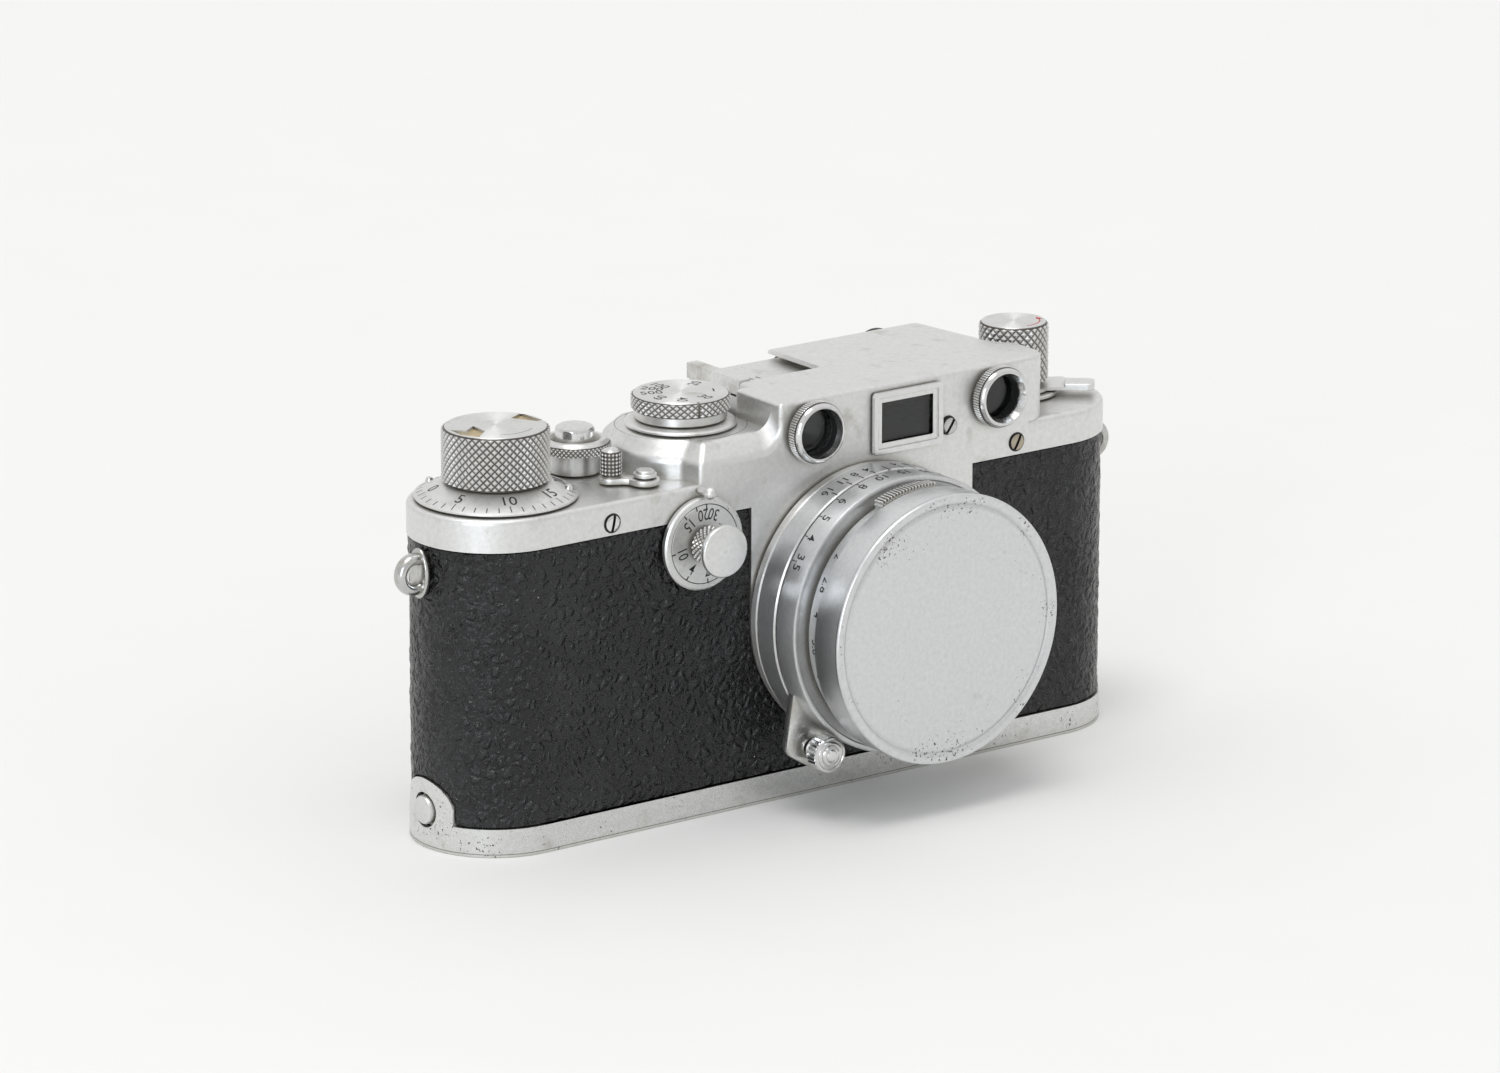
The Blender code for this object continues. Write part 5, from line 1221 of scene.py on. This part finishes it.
class CAMERA_OT_rewinding(PieceOperator):
    """Turn the rewind knob with its knurl and arrow, its flange, and the eyesight lever round it."""

    bl_idname = "camera_piece.rewinding"
    bl_label = "Rewind knob and eyesight lever"

    def execute(self, context):
        sizes = context.scene.camera_sizes
        place = over(REWIND)
        low, high = span("rewind_flange")
        profile = [
            (2.3, low.z), (7.4, low.z), (7.5, low.z + 0.1), (7.5, high.z - 0.15), (7.35, high.z), (2.3, high.z),
            (2.3, low.z)]
        flange = lay(turned("rewind_flange_ring", profile, 80), place)
        finish(flange, satin("flange_chrome", stains=0.5, dirt=0.7), "body", "rewind_flange")
        self.lever(place)
        low, high = span("rewind_knob")
        radius = (high.x - low.x) / 2 - 0.34
        top = high.z
        columns = 2 * sizes.rewind_diamonds
        levels = steps_between(low.z + 0.35, top - 0.5, 13)
        profile = [(0, top - 2.7), (2.3, top - 2.7), (2.3, low.z), (radius - 0.2, low.z)]
        profile += [(radius, z) for z in levels]
        profile += [(radius, top - 0.3), (radius - 0.25, top - 0.04), (radius - 0.4, top), (0, top)]
        knob = knurl(turned("rewind_knob_knurled", profile, columns), radius, levels, columns, 0.36)
        lay(knob, place)
        spin = (UPRIGHT, place)
        chrome = satin("rewind_chrome", spin=spin, valley=(radius, radius + 0.36), bump=0.16, dirt=0.85, pits=0.01)
        finish(knob, chrome, "rewind_knob", "rewind_knob", angle=24)
        curve = arc((REWIND.x, REWIND.y), 4.5, -98, -22, 20) + arc((REWIND.x, REWIND.y), 4.28, -22, -98, 20)
        arrow = plate("rewind_arrow", curve, top + 0.005, top + 0.02)
        tip = radians(-16)
        centre = Vector((REWIND.x, REWIND.y))
        along = Vector((-sin(tip), cos(tip)))
        out = Vector((cos(tip), sin(tip)))
        root = centre + out * 4.37 - along * 0.6
        head = [root + out * 0.55, root + along * 1.3, root - out * 0.55]
        point = plate("arrow_head", [tuple(p) for p in head], top + 0.005, top + 0.02)
        arrow = join([arrow, point])
        red = plain("red_mark", tone("red"), 0.5, 0.3, 3000.0)
        finish(arrow, red, "rewind_knob")
        return {"FINISHED"}

    def lever(self, place):
        low, high = span("eyesight_lever")
        half = 2.2
        turn = radians(-40)
        fan = arc((0, 0), 9.6, 32, 12, 6)
        hub = arc((0, 0), 6.4, 40, 335, 44)
        bar = plate("eyesight_bar", hub + [(8.0, -half), (12.5, -half), (12.5, half)] + fan[::-1], low.z, low.z + 0.55)
        cut(bar, plate("eye", circle(2.3, 32), 40, 80))
        end = arc((12.6, -half + 1.2), 1.2, -90, 0, 6) + arc((12.6, half - 1.2), 1.2, 0, 90, 6)
        tab = plate("tab", [(8.7, -half)] + end + [(8.7, half)], low.z - 0.1, high.z + 0.1)
        round_edges(tab, 0.25, 3)
        unite(bar, tab)
        lay(bar, place, (0, 0, turn))
        chrome = satin("eyesight_chrome", stains=0.35, dirt=0.6)
        finish(bar, chrome, "eyesight_lever", "eyesight_lever", angle=40, even=True)


class CAMERA_OT_windows(PieceOperator):
    """Make the viewfinder's frame, the rangefinder's milled bezels, the eyepieces and the front screws."""

    bl_idname = "camera_piece.windows"
    bl_label = "Windows, eyepieces and screws"

    def execute(self, context):
        sizes = context.scene.camera_sizes
        low, high = span("viewfinder_frame")
        wide, tall = (high.x - low.x) / 2, (high.z - low.z) / 2
        back, front = -high.y, -low.y - 0.5
        rim = plate("view_frame", rounded_rectangle(wide, tall, 0.7), back, front)
        for inset, depths in ((1.9, THROUGH), (1.0, (front - 0.35, 30))):
            across, upright = wide - inset, tall - inset
            cut(rim, plate("opening", rectangle(-across, across, -upright, upright), *depths))
        round_edges(rim, 0.16)
        lay(rim, facing((low + high) / 2), FRONT)
        finish(rim, bright(), "body", "viewfinder_frame", slot="bright_chrome", angle=40, even=True)
        self.bezels(sizes)
        self.eyepieces()
        self.screws()
        return {"FINISHED"}

    def bezels(self, sizes):
        columns = 2 * sizes.bezel_lines
        for side in ("left", "right"):
            low, high = span("rangefinder_bezel_" + side)
            centre = (low + high) / 2
            depth = 0.2
            radius = (high.x - low.x) / 2 - depth
            back, front = -high.y, -low.y
            bore = 3.95 if side == "left" else 3.6
            levels = [back + 0.35, front - 1.0]
            profile = [(bore, back), (radius - 0.15, back), (radius, back + 0.15)] + [(radius, z) for z in levels]
            profile += about(
                radius, front, (-0.02, -0.85), (-0.16, -0.45), (-0.4, -0.14), (-0.62, -0.02), (-0.75, 0), (-0.9, -0.06))
            profile += [(bore + 0.06, front - 1.0), (bore, front - 1.15), (bore, back)]
            bezel = knurl(turned("range_bezel_" + side, profile, columns), radius, levels, columns, depth, "lines")
            place = facing(centre)
            lay(bezel, place, FRONT)
            milled = metal(
                "milled_chrome_" + side, tone("bright"), 0.2, stains=0.15, pits=0.02, dirt=0.5,
                bump=0.03, spin=(FORWARD, place), valley=(radius, radius + depth))
            finish(bezel, milled, "body", "rangefinder_bezel_" + side, slot="bright_chrome", angle=28)
            # A black tube inside the bore: painted shade that keeps the bore's wall dark
            bore_shade = turned("range_lining_" + side, [(bore - 0.02, back), (bore - 0.02, front - 1.3)], 64)
            lay(bore_shade, place, FRONT)
            finish(bore_shade, black_paint(), "body", slot="black_paint")

    def eyepieces(self):
        for side in ("viewfinder", "rangefinder"):
            low, high = span(side + "_eyepiece")
            centre = (low + high) / 2
            start, end = low.y, high.y
            seat = end - 2.0
            profile = [(2.6, start), (3.1, start), (3.1, seat), (4.9, seat), (5.0, seat + 0.1), (5.0, end - 0.5)]
            profile += [
                (4.85, end - 0.2), (4.5, end), (4.0, end), (3.3, end - 0.6), (2.7, end - 0.9), (2.6, end - 1.1),
                (2.6, start)]
            ring = lay(turned(side + "_eye_ring", profile, 64), facing(centre), BACK)
            finish(ring, black_paint(), "body", side + "_eyepiece", slot="black_paint")

    def screws(self):
        for name, turn, material in (
                ("cover_screw_left", 12, bright()), ("window_screw", 35, steel()), ("cover_screw_right", 28, brass())):
            centre = middle(name)
            back, front = END_RADIUS - 0.3, END_RADIUS + (0.8 if name == "window_screw" else 0.4)
            profile = [(0, back), (1.35, back)]
            profile += about(0, front, (1.35, -0.12), (1.22, -0.03), (0.8, 0.03), (0, 0.06))
            head = turned(name + "_head", profile, 40)
            head.data.materials.append(material)
            # The slot's walls and floor take the near-black colour: painted shade
            slot = plate("slot", rectangle(-0.26, 0.26, -3, 3), front - 0.36, front + 2)
            slot.data.materials.append(ink())
            cut(head, lay(slot, turn=(0, 0, radians(-turn))))
            lay(head, facing(centre), FRONT)
            finish(head, None, "body", name, slot="steel")
            # A near-black ring round the head: painted shade in the gap round it
            profile = [(1.66, END_RADIUS + 0.006), (1.37, END_RADIUS + 0.02), (1.37, front - 0.1)]
            seat = lay(turned(name + "_seat", profile, 40), facing(centre), FRONT)
            finish(seat, ink(), "body", slot="steel")


class CAMERA_OT_shoe_and_lugs(PieceOperator):
    """Fold the accessory shoe with its spring strips, and make the two strap lugs."""

    bl_idname = "camera_piece.shoe_and_lugs"
    bl_label = "Accessory shoe and strap lugs"

    def execute(self, context):
        low, high = SHOE_LOW, SHOE_HIGH
        lip = high.z - 0.7
        under = HOUSING_TOP - 0.85
        floor = low.z + 0.6
        section = [
            (low.x, low.z), (high.x, low.z), (high.x, under), (high.x - 0.8, under), (high.x - 0.8, floor),
            (low.x + 0.8, floor), (low.x + 0.8, lip), (low.x + 2.3, lip), (low.x + 2.3, high.z), (low.x, high.z)]
        shoe = plate("shoe_channel", section, -high.y, -low.y + 0.28)
        round_edges(shoe, 0.16)
        lay(shoe, turn=FRONT)
        chrome = satin("shoe_chrome", stains=0.45, dirt=0.8, pits=0.12)
        finish(shoe, chrome, "body", "accessory_shoe", angle=40, even=True)
        strips = []
        for i in range(3):
            x = low.x + 5.2 + 1.5 * i
            strip = plate("shoe_line", rectangle(x, x + 0.3, low.y + 1.5, low.y + 6.5), floor + 0.005, floor + 0.02)
            strips.append(strip)
        lines = join(strips, "shoe_floor_lines")
        finish(lines, engraved(), "body")
        for side, sign in (("left", -1), ("right", 1)):
            self.lug(side, sign)
        return {"FINISHED"}

    def lug(self, side, sign):
        height = middle("strap_lug_" + side).z
        foot = END_X + END_RADIUS + PLAY
        turns = [radians(15 * step) for step in range(25)]
        ring = [(2.5 + 1.0 * cos(turn), 1.28 * sin(turn)) for turn in turns]
        eye = lay(turned("strap_lug_eye_" + side, ring, 48), (sign * (foot + 1.2), 0, height), FRONT)
        base = plate("foot", [(2.5 * x, 4.2 * y) for x, y in circle(1, 40)], foot - 0.4, foot + 0.5)
        round_edges(base, 0.25)
        lay(base, (0, 0, height), RIGHT if sign > 0 else LEFT)
        both = join([eye, base])
        material = metal("lug_chrome", tone("steel"), 0.2, stains=0.5, pits=0.1, dirt=0.9, stain_scale=420.0)
        finish(both, material, "body", "strap_lug_" + side, angle=50)


class CAMERA_OT_lens(PieceOperator):
    """Turn the lens's rings with their scales, the focusing lever with its knob, and the slip-on cap."""

    bl_idname = "camera_piece.lens"
    bl_label = "Lens and cap"

    def execute(self, context):
        self.fixed_rings()
        self.focus_ring()
        self.lock_knob()
        self.aperture_ring()
        self.cap()
        return {"FINISHED"}

    def ring(self, name, profile, steps=160):
        return lay(turned(name, profile, steps), LENS, FRONT)

    def on_ring(self, angle, radius, distance):
        """Place and directions of a mark on a ring, upright towards the front."""
        out = Vector((cos(radians(angle)), 0, sin(radians(angle))))
        up = Vector((0, -1, 0))
        place = Vector((LENS.x, -distance, LENS.z)) + out * (radius + ROUND_PRINT)
        return place, up.cross(out), up

    def fixed_rings(self):
        front = -span("lens_mount")[0].y
        back = END_RADIUS + PLAY
        bore = 19.9
        profile = [
            (bore, back), (23.0, back), (23.2, back + 0.15), (23.2, front - 0.3), (23.0, front), (bore, front),
            (bore, back)]
        flange = self.ring("lens_mount_flange", profile)
        chrome = satin("mount_chrome", spin=(FORWARD, facing(LENS)), dirt=0.75, pits=0.1)
        finish(flange, chrome, "body", "lens_mount")
        front = -span("lens_base_ring")[0].y
        back = front - 4.9
        profile = [
            (bore - 1.4, back), (23.2, back), (BASE_RING, back + 0.3), (BASE_RING, front - 0.25), (23.25, front),
            (bore - 1.4, front), (bore - 1.4, back)]
        base = self.ring("lens_base_ring_turned", profile)
        finish(base, ring_chrome("lens_base_chrome"), "body", "lens_base_ring")
        marks = []
        offsets = (0, 7, -7, 13, -13, 27, -27, 19, -19)
        for offset, text in zip(offsets, ("", "4", "4", "8", "8", "16", "16", "11", "11")):
            marks.append(tick(0.2, 1.5 if text else 2.6, *self.on_ring(90 + offset, BASE_RING, front - 0.85)))
            if text:
                marks.append(number(text, 1.7, *self.on_ring(90 + offset, BASE_RING, front - 2.7)))
        print_marks(marks, "depth_scale", "body")

    def focus_ring(self):
        front = -span("focus_ring")[0].y
        back = front - 4.9
        bore = 18.6
        profile = [
            (bore, back), (23.15, back), (FOCUS_RING, back + 0.25), (FOCUS_RING, front - 0.45), (23.3, front - 0.15),
            (23.05, front), (22.6, front), (22.4, front - 0.25), (bore, front - 0.3), (bore, back)]
        ring = self.ring("focus_ring_turned", profile)
        thick = 1.5
        lever = plate("lever", self.lever_outline(), back, back + thick)
        cut(lever, plate("stem_hole", circle(1.5, 32, LEVER_TIP), back - 1, back + thick + 1))
        round_edges(lever, 0.18)
        lay(lever, LENS, FRONT)
        finish(ring, ring_chrome("focus_chrome"), "focus_ring", "focus_ring")
        worn = satin("lever_plate_chrome", 0.28, stains=0.7, dirt=0.6, stain_scale=330.0)
        finish(lever, worn, "focus_ring")
        marks = []
        distances = ("3.5", "4", "5", "6", "8", "10", "15", "30", "60")
        for text, angle in zip(distances, (150, 139, 129, 119, 108, 98, 87, 76, 66)):
            marks.append(number(text, 1.8, *self.on_ring(angle, FOCUS_RING, back + 1.9)))
            marks.append(tick(0.18, 0.7, *self.on_ring(angle, FOCUS_RING, back + 0.62)))
        print_marks(marks, "distance_scale", "focus_ring")

    def lever_outline(self):
        """Plate from the ring out to a round end that carries the lock knob."""
        inner = arc((0, 0), 22.4, 240, 206, 12)
        corner = arc((-19.2, -19.2), 2.9, 172, 236, 8)
        return inner + [(-20.8, -11.0)] + corner + arc(LEVER_TIP, 3.2, 262, 325, 10)

    def lock_knob(self):
        low, high = span("focus_lock_knob")
        centre = (low + high) / 2
        front, back = -low.y, -high.y
        head = front - 4.5
        levels = [head + 1.3, head + 3.2]
        profile = [
            (0, back), (1.2, back), (1.2, head), (2.2, head), (2.3, head + 0.2), (2.3, head + 1.0),
            (2.75, head + 1.15)]
        profile += [(2.75, z) for z in levels]
        profile += about(
            0, front, (2.7, -1.1), (2.9, -1.0), (3.0, -0.85), (2.9, -0.6), (2.55, -0.5), (2.45, -0.62), (2.3, -0.45),
            (2.0, -0.3), (1.75, -0.42), (1.6, -0.22), (1.25, -0.1), (1.0, -0.24), (0.8, -0.06), (0.4, 0), (0, 0))
        knob = knurl(turned("focus_lock_knob_ringed", profile, 56), 2.75, levels, 56, 0.2, "lines")
        lay(knob, facing(centre), FRONT)
        finish(knob, bright(), "focus_lock_knob", "focus_lock_knob", angle=26)

    def aperture_ring(self):
        low, high = span("aperture_ring")
        front, back = -low.y, -high.y
        radius = (high.x - low.x) / 2
        bore = radius - 3.0
        profile = [
            (bore, back), (radius - 0.3, back), (radius, back + 0.25), (radius, front - 0.25), (radius - 0.25, front),
            (bore, front), (bore, back)]
        ring = self.ring("aperture_ring_turned", profile)
        finish(ring, ring_chrome("aperture_chrome"), "aperture_ring", "aperture_ring")
        grip = plate("aperture_grip", self.grip_outline(radius), back + 1.6, front - 0.05)
        round_edges(grip, 0.06, 1)
        lay(grip, LENS, FRONT)
        finish(grip, satin("grip_chrome", 0.45, dirt=0.9, bump=0.03), "aperture_ring", angle=30)
        marks = []
        for text, angle in (("2", 141), ("2.8", 155), ("4", 169), ("5.6", 184), ("8", 199), ("11", 214), ("16", 229)):
            marks.append(number(text, 1.6, *self.on_ring(angle, radius, back + 1.75)))
        print_marks(marks, "aperture_numbers", "aperture_ring")

    def grip_outline(self, radius):
        """Band of square teeth on top of the ring, seen from the front."""
        outer = radius + 2.3
        first, pitch, count = 84.0, 1.6, 18
        points = arc((0, 0), radius - 0.4, first + pitch * count, first, 24)
        for tooth in range(count):
            start = first + pitch * tooth
            points += arc((0, 0), outer, start, start + 0.5 * pitch, 2)
            points += arc((0, 0), outer - 0.6, start + 0.5 * pitch, start + pitch, 2)
        return points

    def cap(self):
        low, high = span("lens_cap")
        front, back = -low.y, -high.y
        radius = 22.5
        face = front - 0.22
        inside = front - 0.9
        profile = about(radius, back, (-0.8, 0), (-0.15, 0), (0, 0.2))
        profile += about(
            radius, front, (0, -0.95), (-0.04, -0.8), (0.16, -0.72), (0.2, -0.5), (0.14, -0.22), (-0.02, -0.05),
            (-0.3, 0), (-0.85, -0.02), (-1.25, -0.12))
        profile += about(
            radius, face, (-1.5, -0.12), (-1.65, -0.22), (-1.85, -0.16), (-2.1, -0.03), (-2.4, 0))
        profile += [(0, face), (0, inside), (radius - 0.8, inside), (radius - 0.8, back)]
        cap = self.ring("lens_cap_turned", profile, 192)
        finish(cap, self.cap_finish(), "lens_cap", "lens_cap")

    def cap_finish(self):
        """Satin chrome, with spots of corrosion gathered near the face's rim."""
        made = lens_chrome("cap_chrome_pitted", bump=0.05)
        tree = made.node_tree
        wear = next(n for n in tree.nodes if n.bl_idname == "ShaderNodeGroup")
        away = from_axis(tree, FORWARD, facing(LENS))[0]
        clean, spotted, rim = 12 * MM, 20.8 * MM, 22.2 * MM
        on_face = calc(tree, "LESS_THAN", away, rim)
        spread = calc(tree, "MULTIPLY", ramp(tree, away, clean, spotted, 0.07, 0.19), on_face)
        tree.links.new(spread, wear.inputs["Pit Spread"])
        return made


class CAMERA_OT_inner_pieces(PieceOperator):
    """Give the solids that stay in view their finishes."""

    bl_idname = "camera_piece.inner_pieces"
    bl_label = "Inner pieces"

    def execute(self, context):
        finishes = {
            "satin_chrome": satin(), "bright_chrome": bright(), "steel": steel(), "black_paint": black_paint(),
            "window_glass": window_glass(), "covering": black_paint()}
        for part in frame["record"]["subparts"]:
            node = frame["nodes"][part["node"]]
            node.data.materials.clear()
            node.data.materials.append(finishes[part["material_slot"]])
        return {"FINISHED"}


class CAMERA_OT_stage(PieceOperator):
    """Lay the pale floor, set the soft light and place the camera where the photograph was taken."""

    bl_idname = "camera_piece.stage"
    bl_label = "Stage"

    def execute(self, context):
        scene = context.scene
        self.floor()
        self.light(scene)
        self.viewpoint(scene)
        scene.view_settings.view_transform = "Standard"
        return {"FINISHED"}

    def floor(self):
        front = -FLOOR_HALF
        ground = draw("floor", [(-FLOOR_HALF, front, FLOOR_LEVEL), (FLOOR_HALF, front, FLOOR_LEVEL)])
        select_all()
        push(0, 2 * FLOOR_HALF, 0)
        close_up()
        paper = plain("pale_paper", tone("floor"), 0.85, 0.004, 40.0)
        ground.data.materials.append(paper)

    def light(self, scene):
        world = bpy.data.worlds.new("soft_room")
        scene.world = world
        world.use_nodes = True
        tree = world.node_tree
        place = add_node(tree, "ShaderNodeTexCoord").outputs["Generated"]
        side = vector(tree, "DOT_PRODUCT", place, (0.45, 0.85, 0.0), output="Value")
        level = add_node(tree, "ShaderNodeSeparateXYZ", {0: place}).outputs["Z"]
        glow = calc(tree, "ADD", ramp(tree, side, -0.6, 0.75, 0.74, 0.87), ramp(tree, level, 0.3, 0.9, 0.0, 0.1))
        back = tree.nodes["Background"]
        back.inputs["Color"].default_value = (1.0, 1.0, 1.0, 1)
        tree.links.new(glow, back.inputs["Strength"])
        deselect()
        bpy.ops.object.light_add(type="SUN", location=LAMP_PLACE)
        lamp = bpy.context.active_object
        lamp.name = "overhead_lamp"
        lamp.data.angle = LAMP_SPREAD
        lamp.data.energy = LAMP_STRENGTH
        lamp.rotation_euler = Vector(LAMP_DIRECTION).to_track_quat("-Z", "Y").to_euler()
        bpy.ops.object.light_add(type="AREA", location=SIDE_PLACE)
        lamp = bpy.context.active_object
        lamp.name = "side_lamp"
        lamp.data.shape = "RECTANGLE"
        lamp.data.size, lamp.data.size_y = SIDE_WIDE, SIDE_TALL
        lamp.data.energy = SIDE_POWER
        lamp.data.color = SIDE_COLOUR
        aim = Vector(SIDE_TARGET) - lamp.location
        lamp.rotation_euler = aim.to_track_quat("-Z", "Y").to_euler()

    def viewpoint(self, scene):
        azimuth, elevation, roll = radians(VIEW_AZIMUTH), radians(VIEW_ELEVATION), radians(VIEW_ROLL)
        back = Vector((sin(azimuth) * cos(elevation), -cos(azimuth) * cos(elevation), sin(elevation)))
        right = Vector((cos(azimuth), sin(azimuth), 0))
        up = back.cross(right)
        level = right * cos(roll) + up * sin(roll)
        up = up * cos(roll) - right * sin(roll)
        deselect()
        bpy.ops.object.camera_add()
        view = bpy.context.active_object
        view.name = "viewpoint"
        view.data.sensor_fit = "HORIZONTAL"
        view.data.sensor_width = VIEW_SENSOR
        view.data.lens = VIEW_LENS
        view.data.clip_start = 0.01
        turn = Matrix((level, up, back)).transposed().to_4x4()
        view.matrix_world = Matrix.Translation(Vector(VIEW_TARGET) + back * VIEW_DISTANCE) @ turn
        scene.camera = view


class VIEW3D_PT_camera_pieces(bpy.types.Panel):
    """Lists the camera's operators, sizes and colours."""

    bl_label = "Rangefinder camera"
    bl_idname = "VIEW3D_PT_camera_pieces"
    bl_space_type = "VIEW_3D"
    bl_region_type = "UI"
    bl_category = "Camera"

    def draw(self, context):
        for group in (context.scene.camera_sizes, context.scene.camera_colours):
            box = self.layout.box()
            for name in group.__annotations__:
                box.prop(group, name)
        for operator in OPERATORS:
            self.layout.operator(operator.bl_idname)


OPERATORS = (
    CAMERA_OT_inner_pieces,
    CAMERA_OT_covering,
    CAMERA_OT_top_cover,
    CAMERA_OT_base_plate,
    CAMERA_OT_winding,
    CAMERA_OT_release,
    CAMERA_OT_speeds,
    CAMERA_OT_rewinding,
    CAMERA_OT_windows,
    CAMERA_OT_shoe_and_lugs,
    CAMERA_OT_lens,
    CAMERA_OT_stage,
)
CLASSES = (CameraSizes, CameraColours, *OPERATORS, VIEW3D_PT_camera_pieces)


def register():
    for item in CLASSES:
        bpy.utils.register_class(item)
    bpy.types.Scene.camera_sizes = bpy.props.PointerProperty(type=CameraSizes)
    bpy.types.Scene.camera_colours = bpy.props.PointerProperty(type=CameraColours)


def unregister():
    del bpy.types.Scene.camera_colours
    del bpy.types.Scene.camera_sizes
    for item in reversed(CLASSES):
        bpy.utils.unregister_class(item)


def main():
    register()
    for operator in OPERATORS:
        group, name = operator.bl_idname.split(".")
        getattr(getattr(bpy.ops, group), name)()


if __name__ == "__main__":
    main()
